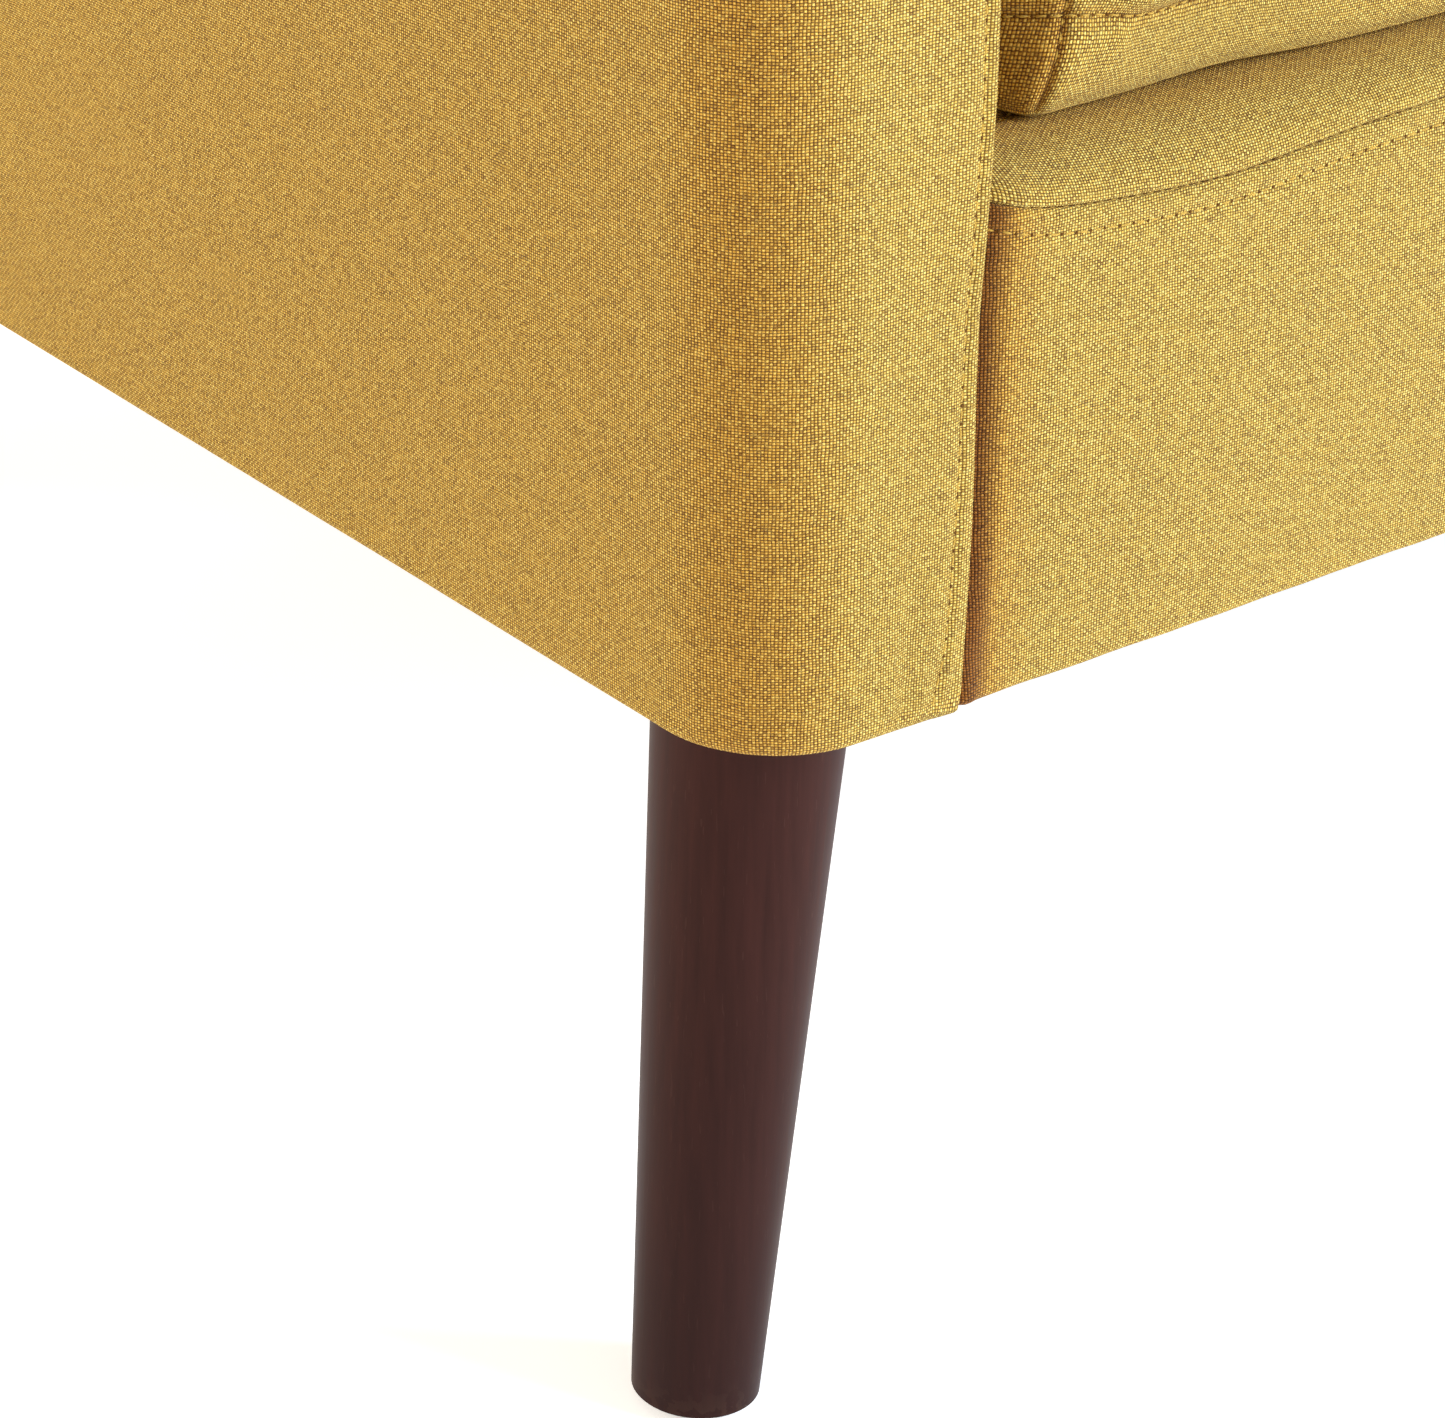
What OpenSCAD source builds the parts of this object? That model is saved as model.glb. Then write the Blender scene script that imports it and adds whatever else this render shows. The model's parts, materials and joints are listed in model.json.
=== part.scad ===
// Two-seat upholstered sofa on splayed, turned wooden legs.
// Frame: +X to the right as seen from the front, the front faces -Y, +Z up,
// origin on the floor under the centre of the sofa. Left is the -X side.

/* [Overall] */
// Overall width over the arms
sofa_w = 1400; // [1300:10:2000]
// Overall depth, front of the arms to the outside back
sofa_d = 800; // [780:10:900]
// Height of the upholstered body's lower edge above the floor
base_z = 198; // [150:1:260]
// Height of the top of the arms above the floor
arm_z = 600; // [540:10:680]
// Height of the top of the fixed back above the floor
back_z = 790; // [740:10:860]

/* [Arms] */
// Thickness of each padded arm
arm_w = 60; // [58:1:80]
// Radius of the arm's outer front corner
arm_r = 30; // [28:1:34]
// Radius of the arm's long top edges
arm_top_r = 14; // [13:1:16]

/* [Upholstery] */
// Thickness of the woven cover
cover_t = 1.5; // [1:0.1:2]
// Thickness of the foam over the frame
foam_t = 9; // [8:0.5:9.5]
// Height of the deck that the seat cushions lie on
deck_z = 318; // [316:1:324]
// Height of the front border's upper seam
border_z = 308.2; // [308:0.1:310]
// Lean of the inside back from the vertical, in degrees
back_lean = 6; // [4:0.5:6]

/* [Cushions] */
// Thickness of the seat cushions
seat_t = 132; // [110:1:150]
// How far the seat cushions stand behind the front border
seat_setback = 16; // [12:1:60]
// Radius of the seat cushions' corners, seen from above
seat_r = 22; // [16:1:30]
// Thickness of the loose back cushions, front to back
backc_t = 140; // [110:5:180]
// Height of the top of the loose back cushions above the floor
backc_z = 830; // [700:10:860]

/* [Legs] */
// Diameter of a leg where it meets the body
leg_d1 = 46.4; // [40:0.2:50]
// Diameter of a leg at its foot
leg_d2 = 31.3; // [24:0.1:36]
// Outward lean of a leg, in degrees
leg_lean = 5.17; // [0:0.01:6]
// Distance from the sofa's side to the leg's centre at the top
leg_in_x = 45; // [45:1:50]
// Distance from the sofa's front or back to the leg's centre at the top
leg_in_y = 56; // [54:1:60]
// Thickness of the glide at its centre
glide_t = 1.7; // [1.6:0.1:4]

/* [Springs] */
// Number of sinuous springs under the seat
spring_n = 10; // [6:1:12]
// Width of one sinuous spring
spring_w = 50; // [40:1:60]
// Wire thickness of the springs
wire_t = 4; // [3:0.1:4]

/* [Hidden] */

// Colours
c_fabric = [0.83, 0.63, 0.22];
c_wood = [0.80, 0.66, 0.46];
c_leg = [0.27, 0.17, 0.15];
c_foam = [0.93, 0.90, 0.78];
c_board = [0.62, 0.50, 0.36];
c_steel = [0.62, 0.62, 0.64];
c_black = [0.16, 0.16, 0.17];
c_grey = [0.35, 0.35, 0.37];

W = sofa_w;
D = sofa_d;
skin = cover_t + foam_t;         // cover and foam together
panel_t = 3;                     // arm panels and the back board
fx = skin + panel_t;             // where the arm's wooden frame starts, from the side
fx2 = arm_w - fx;                // and where it ends
rail_t = 25;                     // thickness of the seat rails
rail_z0 = base_z + 3;            // underside of the seat rails
rail_z1 = 295 - 198 + base_z;    // top of the seat rails
tan_b = tan(back_lean);
// Inside back's face at height z, from the front of the sofa
function bf(z) = D - 110 + (z - deck_z) * tan_b;
// Corner points of an arc, from angle a0 to a1
function arc(cx, cy, r, a0, a1, n = 6) =
    [for (i = [0:n]) [cx + r * cos(a0 + (a1 - a0) * i / n), cy + r * sin(a0 + (a1 - a0) * i / n)]];
// Rounded rectangle: radii at (x0,y0), (x1,y0), (x1,y1), (x0,y1)
function rrect(x0, y0, x1, y1, r) = concat(
    r[0] > 0 ? arc(x0 + r[0], y0 + r[0], r[0], 180, 270) : [[x0, y0]],
    r[1] > 0 ? arc(x1 - r[1], y0 + r[1], r[1], 270, 360) : [[x1, y0]],
    r[2] > 0 ? arc(x1 - r[2], y1 - r[2], r[2], 0, 90) : [[x1, y1]],
    r[3] > 0 ? arc(x0 + r[3], y1 - r[3], r[3], 90, 180) : [[x0, y1]]);

// From the front left corner of the sofa to the shared frame
module corner() { translate([-W / 2, -D / 2, 0]) children(); }
// The same piece on the other side
module side(s) { if (s < 0) corner() children(); else mirror([1, 0, 0]) corner() children(); }
// The same piece at all four corners
module four() {
    for (s = [-1, 1]) side(s) { children(); translate([0, D, 0]) mirror([0, 1, 0]) children(); }
}
// A profile in (y, z), pulled from x0 to x1
module across(x0, x1, pts) {
    translate([x0, 0, 0]) rotate([90, 0, 90]) linear_extrude(x1 - x0) polygon(pts);
}
// A profile in (x, z), pulled from y0 to y1
module along(y0, y1, pts) {
    translate([0, y1, 0]) rotate([90, 0, 0]) linear_extrude(y1 - y0) polygon(pts);
}

// ---- screws, bolts and the leg's own axis ----
screw_at = [[21, 32], [69, 32], [21, 80], [69, 80]];
// Along the leg's axis, with z up the axis from the centre of its foot
module leg_axis() {
    translate([leg_in_x - (base_z - glide_t) * tan(leg_lean), leg_in_y, glide_t])
        rotate([0, leg_lean, 0]) children();
}
leg_l = (base_z - glide_t) / cos(leg_lean);
module screw_holes() { for (p = screw_at) translate([p[0], p[1], rail_z0 - 1]) cylinder(h = 24, d = 3.8, $fn = 24); }
module bolt_hole(d) { leg_axis() translate([0, 0, leg_l - 42]) cylinder(h = 78, d = d, $fn = 32); }

// ---- seat frame ----
module front_rail_one() {
    translate([0, 0, rail_z0]) linear_extrude(rail_z1 - rail_z0)
        polygon([[arm_r, skin], [W - arm_r, skin], [W - fx, arm_r], [W - fx, skin + rail_t],
                 [fx, skin + rail_t], [fx, arm_r]]);
}
module front_rail() {
    color(c_wood) difference() { corner() front_rail_one(); four() screw_holes(); }
}
module back_rail() {
    color(c_wood) difference() {
        corner() translate([0, D, 0]) mirror([0, 1, 0]) front_rail_one();
        four() screw_holes();
    }
}
module side_rail(s) {
    color(c_wood) side(s) difference() {
        translate([fx, skin + rail_t, rail_z0]) cube([rail_t, D - 2 * (skin + rail_t), rail_z1 - rail_z0]);
        screw_holes();
        translate([0, D, 0]) mirror([0, 1, 0]) screw_holes();
    }
}
module centre_stretcher() {
    color(c_wood) translate([-14, -D / 2 + skin + rail_t, rail_z0]) cube([28, D - 2 * (skin + rail_t), 68]);
}
module corner_blocks() {
    color(c_wood) four() difference() {
        translate([fx + rail_t, skin + rail_t, rail_z0]) cube([66, 69, 40]);
        screw_holes();
        bolt_hole(9);
    }
}

// ---- arms ----
module arm_front_post(s) {
    color(c_wood) side(s) translate([0, 0, rail_z1]) linear_extrude(arm_z - 40 - rail_z1)
        polygon([[arm_r, skin], [fx2, skin], [fx2, 56], [fx, 56], [fx, arm_r]]);
}
module arm_rear_post(s) {
    color(c_wood) side(s) translate([fx, D - 56, rail_z1]) cube([fx2 - fx, 40, arm_z - 40 - rail_z1]);
}
module arm_top_rail(s) {
    color(c_wood) side(s) translate([fx, arm_r + 2, arm_z - 40]) cube([fx2 - fx, D - arm_r - 20, 28]);
}
module arm_outer_panels() {
    color(c_board) for (s = [-1, 1]) side(s)
        translate([skin, arm_r + 2, rail_z0]) cube([panel_t, D - arm_r - 22, arm_z - 15 - rail_z0]);
}
module arm_inner_panels() {
    color(c_board) for (s = [-1, 1]) side(s)
        translate([arm_w - fx, 20, rail_z1 + 2]) cube([panel_t, D - 40, arm_z - 17 - rail_z1]);
}
// The arm's padded slab, drawn in by o all round, from height zb up
module arm_block(o, zb) {
    intersection() {
        translate([0, 0, zb]) linear_extrude(arm_z - o - zb)
            polygon(rrect(o, o, arm_w - o, D - o, [arm_r - o, max(6 - o, 0), max(6 - o, 0), 15 - o]));
        along(0, D, rrect(o, zb, arm_w - o, arm_z - o, [0, 0, arm_top_r - o, arm_top_r - o]));
    }
}
// The arm's inner side is open below the deck, where the seat rails pass
module arm_window() {
    translate([arm_w - 12, skin, base_z - 2]) cube([14, D - 2 * skin, rail_z1 + 1 - base_z + 2]);
}
module arm_foam(s) {
    color(c_foam) side(s) difference() {
        arm_block(cover_t, rail_z0);
        arm_block(skin, rail_z0 - 1);
        arm_window();
    }
}
module arm_cover(s) {
    color(c_fabric) side(s) {
        difference() {
            arm_block(0, base_z);
            arm_block(cover_t, base_z - 1);
            arm_window();
        }
        // hem turned under the outer side and the front
        translate([cover_t - 0.5, arm_r + 2, base_z]) cube([skin, D - arm_r - 22, 1.5]);
        translate([arm_r + 2, cover_t - 0.5, base_z]) cube([arm_w - arm_r - 2, skin, 1.5]);
    }
}

// ---- back ----
module back_post(s) {
    z0 = rail_z0 + 40;
    color(c_wood) side(s) across(75, 103,
        [[bf(z0) + 21.5, z0], [bf(back_z - 3) + 21.5, back_z - 3], [D - skin, back_z - 3],
         [D - skin, rail_z1], [D - skin - rail_t, rail_z1], [D - skin - rail_t, z0]]);
}
module back_top_rail() {
    color(c_wood) corner() across(103, W - 103,
        [[bf(back_z - 33) + 21.5, back_z - 33], [bf(back_z - 3) + 21.5, back_z - 3],
         [D - skin, back_z - 3], [D - skin, back_z - 33]]);
}
module slanted(x0, x1, z0, z1, a, b) {
    across(x0, x1, [[bf(z0) + a, z0], [bf(z1) + a, z1], [bf(z1) + b, z1], [bf(z0) + b, z0]]);
}
module back_lower_rail() { color(c_wood) corner() slanted(103, W - 103, deck_z + 22, deck_z + 57, 21.5, 46.5); }
module back_centre_post() {
    color(c_wood) corner() slanted(W / 2 - 14, W / 2 + 14, deck_z + 57, back_z - 33, 21.5, 46.5);
}
module back_webbing() {
    color(c_grey) corner() for (i = [0:4]) let (z = deck_z + 34 + i * (back_z - deck_z - 100) / 4.4)
        slanted(75, W - 75, z, z + 60, 19.6, 21.4);
}
module back_foam() {
    color(c_foam) corner() slanted(arm_w + cover_t + 0.05, W - arm_w - cover_t - 0.05, 303, back_z - cover_t - 0.05, cover_t + 0.05, 19.5);
}
module back_cover() {
    color(c_fabric) corner() difference() {
        across(arm_w, W - arm_w,
            [[bf(302), 302], [bf(back_z), back_z], [D - cover_t, back_z], [D - cover_t, 302]]);
        across(arm_w + cover_t, W - arm_w - cover_t,
            [[bf(301) + cover_t, 301], [bf(back_z - cover_t) + cover_t, back_z - cover_t],
             [D + 1, back_z - cover_t], [D + 1, 301]]);
    }
}
module outer_back_board() {
    color(c_board) corner() translate([arm_w + 2, D - skin, rail_z0])
        cube([W - 2 * arm_w - 4, panel_t, back_z - 3 - rail_z0]);
}
module outer_back_wadding() {
    color(c_foam) corner() translate([arm_w + 2, D - skin + panel_t, rail_z0])
        cube([W - 2 * arm_w - 4, foam_t - panel_t, back_z - 3 - rail_z0]);
}
module outer_back_cover() {
    color(c_fabric) corner() across(arm_w, W - arm_w,
        [[D - cover_t, back_z], [D, back_z], [D, base_z], [D - 20, base_z], [D - 20, base_z + 1.5],
         [D - cover_t, base_z + 1.5]]);
}

// ---- springs ----
spring_x0 = 150;
spring_dx = (W - 2 * spring_x0) / (spring_n - 1);
bar_y = 22;                              // end bar, from the front and from the back
loop_n = 24;                             // half loops on one spring
loop_p = (D - 2 * bar_y) / loop_n;       // distance between two bars
module spring_2d() {
    r = loop_p / 2;
    w = spring_w - loop_p;
    for (i = [0:loop_n]) translate([-w / 2, bar_y + i * loop_p - wire_t / 2]) square([w, wire_t]);
    for (i = [0:loop_n - 1]) translate([(i % 2 == 0 ? 1 : -1) * w / 2, bar_y + (i + 0.5) * loop_p])
        intersection() {
            difference() { circle(r = r + wire_t / 2, $fn = 48); circle(r = r - wire_t / 2, $fn = 48); }
            translate([i % 2 == 0 ? 0 : -r - wire_t, -r - wire_t]) square([r + wire_t, 2 * (r + wire_t)]);
        }
}
module seat_springs() {
    color(c_steel) corner() for (i = [0:spring_n - 1]) translate([spring_x0 + i * spring_dx, 0, rail_z1])
        linear_extrude(wire_t) spring_2d();
}
module spring_clips() {
    color(c_steel) corner() for (i = [0:spring_n - 1]) for (y = [bar_y, D - bar_y])
        translate([spring_x0 + i * spring_dx - 7, y - 6, rail_z1]) difference() {
            cube([14, 12, 6]);
            translate([-1, 6 - wire_t / 2 - 0.1, -1]) cube([16, wire_t + 0.2, wire_t + 1.1]);
        }
}
module spring_tie_wires() {
    color(c_steel) corner() for (y = [0.33 * D, 0.6 * D])
        translate([spring_x0 - 15, y, rail_z1 + wire_t + 1.5]) rotate([0, 90, 0])
            cylinder(h = W - 2 * spring_x0 + 30, d = 3, $fn = 24);
}

// ---- deck and front border ----
deck_y1 = D - 116;
module spring_pad() {
    color(c_grey) corner() translate([arm_w + 2, 36, rail_z1 + wire_t + 3.2])
        cube([W - 2 * arm_w - 4, deck_y1 - 36, 2.6]);
}
deck_in = [[cover_t, border_z], [4.3, deck_z - 7.3], [10.8, deck_z - 3.9], [28.2, deck_z - cover_t]];
module deck_foam() {
    color(c_foam) corner() across(arm_w, W - arm_w, concat(
        [[cover_t, border_z - 1.7], [skin, border_z - 1.7], [skin, rail_z1 + 7], [36, rail_z1 + 7],
         [36, rail_z1 + 10], [deck_y1, rail_z1 + 10], [deck_y1, deck_z - cover_t]],
        [for (i = [3:-1:0]) deck_in[i]]));
}
module deck_cover() {
    color(c_fabric) corner() across(arm_w, W - arm_w, concat(
        [[deck_y1, deck_z - cover_t], [deck_y1, deck_z], [28, deck_z], [10, deck_z - 2.5],
         [3, deck_z - 6.5], [0, border_z]], deck_in));
}
module front_border_foam() {
    color(c_foam) corner() translate([arm_w, cover_t, rail_z0])
        cube([W - 2 * arm_w, foam_t, border_z - 2 - rail_z0]);
}
module front_border_cover() {
    color(c_fabric) corner() across(arm_w, W - arm_w,
        [[0, base_z], [20, base_z], [20, base_z + 1.5], [cover_t, base_z + 1.5], [cover_t, border_z],
         [0, border_z]]);
}
module dust_cover() {
    a = fx + 0.5;
    b = skin + 0.5;
    color(c_black) difference() {
        corner() translate([0, 0, rail_z0 - 1]) linear_extrude(1)
            polygon([[a + 20, b], [W - a - 20, b], [W - a, b + 20], [W - a, D - b - 20],
                     [W - a - 20, D - b], [a + 20, D - b], [a, D - b - 20], [a, b + 20]]);
        four() translate([leg_in_x - 32, leg_in_y - 32, rail_z0 - 2]) cube([64, 64, 4]);
    }
}

// ---- seat cushions ----
sc_x0 = arm_w + 2;
sc_x1 = W / 2 - 1;
sc_y0 = seat_setback;
sc_y1 = D - 117;
sc_z0 = deck_z + 0.4;
sc_z1 = sc_z0 + seat_t;
zip_l = 500;
zip_x0 = (sc_x0 + sc_x1) / 2 - zip_l / 2;
zip_z = sc_z0 + seat_t / 2;
module seat_block(o) {
    r = seat_r - o;
    translate([0, 0, sc_z0 + o]) linear_extrude(seat_t - 2 * o)
        polygon(rrect(sc_x0 + o, sc_y0 + o, sc_x1 - o, sc_y1 - o, [r, r, r, r]));
}
module seat_cover(s) {
    color(c_fabric) side(s) difference() {
        seat_block(0);
        seat_block(cover_t);
        translate([zip_x0, sc_y1 - 5, zip_z - 6]) cube([zip_l, 10, 12]);
    }
}
module seat_wrap(s) {
    color([0.96, 0.96, 0.95]) side(s) difference() {
        seat_block(cover_t);
        translate([sc_x0 - 1, sc_y0 + 13.5, sc_z0 + 13.5])
            cube([sc_x1 - sc_x0 + 2, sc_y1 - sc_y0 - 27, seat_t - 27]);
    }
}
module seat_core(s) {
    color(c_foam) side(s) translate([sc_x0 + 5, sc_y0 + 13.5, sc_z0 + 13.5])
        cube([sc_x1 - sc_x0 - 10, sc_y1 - sc_y0 - 27, seat_t - 27]);
}
module seat_zip(s) {
    color(c_fabric) side(s) {
        translate([zip_x0, sc_y1 - cover_t, zip_z - 6]) cube([zip_l, cover_t, 12]);
        translate([zip_x0 + 2, sc_y1 - 0.2, zip_z - 2]) cube([zip_l - 4, 1.4, 4]);
    }
}
module seat_zip_pull(s) {
    color(c_steel) side(s) {
        translate([zip_x0 + 4, sc_y1 + 1.5, zip_z - 4]) cube([10, 2.5, 8]);
        translate([zip_x0 + 6, sc_y1 + 3.8, zip_z - 18]) cube([6, 1, 20]);
    }
}

// ---- loose back cushions, leaning on the inside back ----
bc_z0 = sc_z1 + 0.5;
module backc_block(o) {
    z0 = bc_z0 + o;
    z1 = backc_z - o;
    across(sc_x0 + o, sc_x1 - o,
        [[bf(z0) - 0.8 - backc_t + o, z0], [bf(z0) - 0.8 - o, z0], [bf(z1) - 0.8 - o, z1],
         [bf(z1) - 0.8 - backc_t + o, z1]]);
}
module back_cushion_cover(s) {
    color(c_fabric) side(s) difference() {
        backc_block(0);
        backc_block(cover_t);
        // closing seam along the lower edge
        translate([(sc_x0 + sc_x1) / 2 - 75, bf(bc_z0) - 60, bc_z0 - 1]) cube([150, 0.6, 4]);
    }
}
module back_filling(s) { color([0.96, 0.96, 0.95]) side(s) backc_block(cover_t); }

// ---- legs ----
module leg_one() {
    k = (leg_d1 - leg_d2) / 2 / leg_l;
    difference() {
        leg_axis() rotate_extrude($fn = 96)
            polygon([[0, 0], [leg_d2 / 2 - 0.4, 0], [leg_d2 / 2, 0.4], [leg_d2 / 2 + k * (leg_l + 6), leg_l + 6],
                     [0, leg_l + 6]]);
        translate([leg_in_x - 60, leg_in_y - 60, base_z]) cube([120, 120, 30]);
        bolt_hole(8);
        leg_axis() translate([0, 0, -1]) cylinder(h = 17, d = 2.6, $fn = 24);
    }
}
module leg(s, rear) {
    color(c_leg) side(s) if (rear) translate([0, D, 0]) mirror([0, 1, 0]) leg_one(); else leg_one();
}
module leg_plates() {
    color(c_steel) four() difference() {
        translate([leg_in_x - 31, leg_in_y - 31, base_z]) cube([62, 62, 3]);
        for (p = screw_at) translate([p[0], p[1], base_z - 1]) cylinder(h = 5, d = 4.2, $fn = 24);
        bolt_hole(8.4);
    }
}
module leg_plate_screws() {
    color(c_steel) four() for (p = screw_at) translate([p[0], p[1], 0]) {
        translate([0, 0, base_z - 1.8]) cylinder(h = 1.8, d = 7.6, $fn = 32);
        translate([0, 0, base_z - 0.1]) cylinder(h = 22, d = 3.6, $fn = 24);
    }
}
module hanger_bolts() {
    color(c_steel) four() leg_axis() translate([0, 0, leg_l - 38]) cylinder(h = 68, d = 7.8, $fn = 32);
}
module leg_glides() {
    color(c_black) four() difference() {
        leg_axis() {
            translate([0, 0, -8]) cylinder(h = 8, d = 18, $fn = 48);
            translate([0, 0, -1]) cylinder(h = 15, d = 2.4, $fn = 24);
        }
        translate([leg_in_x - 80, leg_in_y - 60, -20]) cube([120, 120, 20]);
    }
}

front_rail();
back_rail();
side_rail(-1);  // left_side_rail
side_rail(1);  // right_side_rail
centre_stretcher();
corner_blocks();
arm_front_post(-1);  // left_arm_front_post
arm_front_post(1);  // right_arm_front_post
arm_rear_post(-1);  // left_arm_rear_post
arm_rear_post(1);  // right_arm_rear_post
arm_top_rail(-1);  // left_arm_top_rail
arm_top_rail(1);  // right_arm_top_rail
arm_outer_panels();
arm_inner_panels();
arm_foam(-1);  // left_arm_foam
arm_foam(1);  // right_arm_foam
arm_cover(-1);  // left_arm_cover
arm_cover(1);  // right_arm_cover
back_post(-1);  // left_back_post
back_post(1);  // right_back_post
back_top_rail();
back_lower_rail();
back_centre_post();
back_webbing();
back_foam();
back_cover();
outer_back_board();
outer_back_wadding();
outer_back_cover();
seat_springs();
spring_clips();
spring_tie_wires();
spring_pad();
deck_foam();
deck_cover();
front_border_foam();
front_border_cover();
dust_cover();
seat_core(-1);  // left_seat_core
seat_wrap(-1);  // left_seat_wrap
seat_cover(-1);  // left_seat_cover
seat_zip(-1);  // left_seat_zip
seat_zip_pull(-1);  // left_seat_zip_pull
seat_core(1);  // right_seat_core
seat_wrap(1);  // right_seat_wrap
seat_cover(1);  // right_seat_cover
seat_zip(1);  // right_seat_zip
seat_zip_pull(1);  // right_seat_zip_pull
back_filling(-1);  // left_back_filling
back_cushion_cover(-1);  // left_back_cushion_cover
back_filling(1);  // right_back_filling
back_cushion_cover(1);  // right_back_cushion_cover
leg(-1, false);  // left_front_leg
leg(1, false);  // right_front_leg
leg(-1, true);  // left_rear_leg
leg(1, true);  // right_rear_leg
leg_plates();
leg_plate_screws();
hanger_bolts();
leg_glides();
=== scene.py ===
import bpy, json, math
import numpy as np
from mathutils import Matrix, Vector


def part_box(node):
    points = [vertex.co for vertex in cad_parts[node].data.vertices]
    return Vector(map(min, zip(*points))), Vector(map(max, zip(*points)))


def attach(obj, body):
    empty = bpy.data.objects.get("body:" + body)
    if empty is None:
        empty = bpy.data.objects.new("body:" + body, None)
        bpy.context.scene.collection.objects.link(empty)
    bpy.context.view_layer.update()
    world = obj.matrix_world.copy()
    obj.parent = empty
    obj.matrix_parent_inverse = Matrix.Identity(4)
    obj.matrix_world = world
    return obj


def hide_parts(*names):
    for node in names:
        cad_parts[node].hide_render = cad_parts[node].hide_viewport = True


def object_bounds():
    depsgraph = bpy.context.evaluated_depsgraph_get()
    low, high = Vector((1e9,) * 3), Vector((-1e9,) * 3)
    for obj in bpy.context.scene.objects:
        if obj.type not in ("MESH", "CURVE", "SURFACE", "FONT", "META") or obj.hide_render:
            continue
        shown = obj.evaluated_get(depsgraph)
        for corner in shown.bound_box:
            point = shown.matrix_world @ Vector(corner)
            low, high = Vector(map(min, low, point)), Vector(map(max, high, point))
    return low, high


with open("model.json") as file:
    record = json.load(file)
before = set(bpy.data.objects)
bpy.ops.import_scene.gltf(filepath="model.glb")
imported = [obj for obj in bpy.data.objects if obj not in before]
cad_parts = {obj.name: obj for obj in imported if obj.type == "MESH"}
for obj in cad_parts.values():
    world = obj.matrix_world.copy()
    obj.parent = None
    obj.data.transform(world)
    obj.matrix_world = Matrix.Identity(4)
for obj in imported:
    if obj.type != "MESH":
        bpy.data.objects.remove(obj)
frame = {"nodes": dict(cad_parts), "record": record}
cad_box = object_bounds()
nodes = frame["nodes"]

# ------------------------------------------------------------------ the frame's own sizes
lo, hi = cad_box
W = hi.x - lo.x                       # over the arms
D = hi.y - lo.y
X0, Y0 = lo.x, lo.y                   # the front left corner, seen from the front
a_lo, a_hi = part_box("left_arm_cover")
Z0 = a_lo.z                           # lower edge of the body
ARM_W = a_hi.x - a_lo.x
ARM_Z = a_hi.z
dk_lo, dk_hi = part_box("deck_cover")
DECK_Z = dk_hi.z
b_lo, b_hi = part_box("back_cover")
BACK_Z = b_hi.z
sc_lo, sc_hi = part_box("left_seat_cover")
bc_lo, bc_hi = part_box("left_back_cushion_cover")
MM = 0.001
LEAN = math.tan(math.radians(6.0))


def back_face(z):
    """y of the inside back's face at height z"""
    return b_lo.y + (z - b_lo.z) * LEAN


# ------------------------------------------------------------------ numbers helpers
def smooth(a, b, x):
    t = np.clip((np.asarray(x, float) - a) / (b - a), 0, 1)
    return t * t * (3 - 2 * t)


def _hash(ix, iy, iz, seed):
    n = (ix * 374761393 + iy * 668265263 + iz * 2147483647 + seed * 974634777) & 0xFFFFFFFF
    n = ((n ^ (n >> 13)) * 1274126177) & 0xFFFFFFFF
    n = n ^ (n >> 16)
    return (n & 0xFFFF) / 32767.5 - 1.0


def vnoise(x, y, z=0.0, seed=0):
    """smooth value noise, from -1 to 1, one cell a unit"""
    x, y, z = np.broadcast_arrays(np.asarray(x, float), np.asarray(y, float), np.asarray(z, float))
    ix, iy, iz = np.floor(x).astype(np.int64), np.floor(y).astype(np.int64), np.floor(z).astype(np.int64)
    fx, fy, fz = x - ix, y - iy, z - iz
    fx, fy, fz = fx * fx * (3 - 2 * fx), fy * fy * (3 - 2 * fy), fz * fz * (3 - 2 * fz)
    out = 0
    for dx in (0, 1):
        for dy in (0, 1):
            for dz in (0, 1):
                w = (fx if dx else 1 - fx) * (fy if dy else 1 - fy) * (fz if dz else 1 - fz)
                out = out + w * _hash(ix + dx, iy + dy, iz + dz, seed)
    return out


def fbm(x, y, z=0.0, seed=0, octaves=3):
    out, a, f = 0, 1.0, 1.0
    for o in range(octaves):
        out = out + a * vnoise(np.asarray(x) * f, np.asarray(y) * f, np.asarray(z) * f, seed + 17 * o)
        a, f = a * 0.5, f * 2.03
    return out


def spaced(points):
    """several stretches of numbers: [(start, step), ..., end]"""
    out = []
    for (a, step), nxt in zip(points[:-1], points[1:]):
        b = nxt[0] if isinstance(nxt, tuple) else nxt
        n = max(1, int(round(abs(b - a) / step)))
        out += list(np.linspace(a, b, n, endpoint=False))
    return np.array(out + [points[-1]])


# ------------------------------------------------------------------ mesh helpers
def new_mesh(name, verts, faces, uvs=None, smooth_shade=True):
    me = bpy.data.meshes.new(name)
    me.from_pydata([tuple(v) for v in verts], [], faces)
    if uvs is not None:
        layer = me.uv_layers.new(name="UVMap")
        layer.data.foreach_set("uv", np.asarray(uvs, np.float32).ravel())
    if smooth_shade:
        me.polygons.foreach_set("use_smooth", [True] * len(me.polygons))
    me.validate()
    me.update()
    o = bpy.data.objects.new(name, me)
    bpy.context.scene.collection.objects.link(o)
    return o


def grid_quads(nr, nc, wrap):
    r = np.arange(nr - 1)[:, None]
    c = np.arange(nc if wrap else nc - 1)[None, :]
    c2 = (c + 1) % nc
    return np.stack([r * nc + c, r * nc + c2, (r + 1) * nc + c2, (r + 1) * nc + c], -1).reshape(-1, 4)


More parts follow.
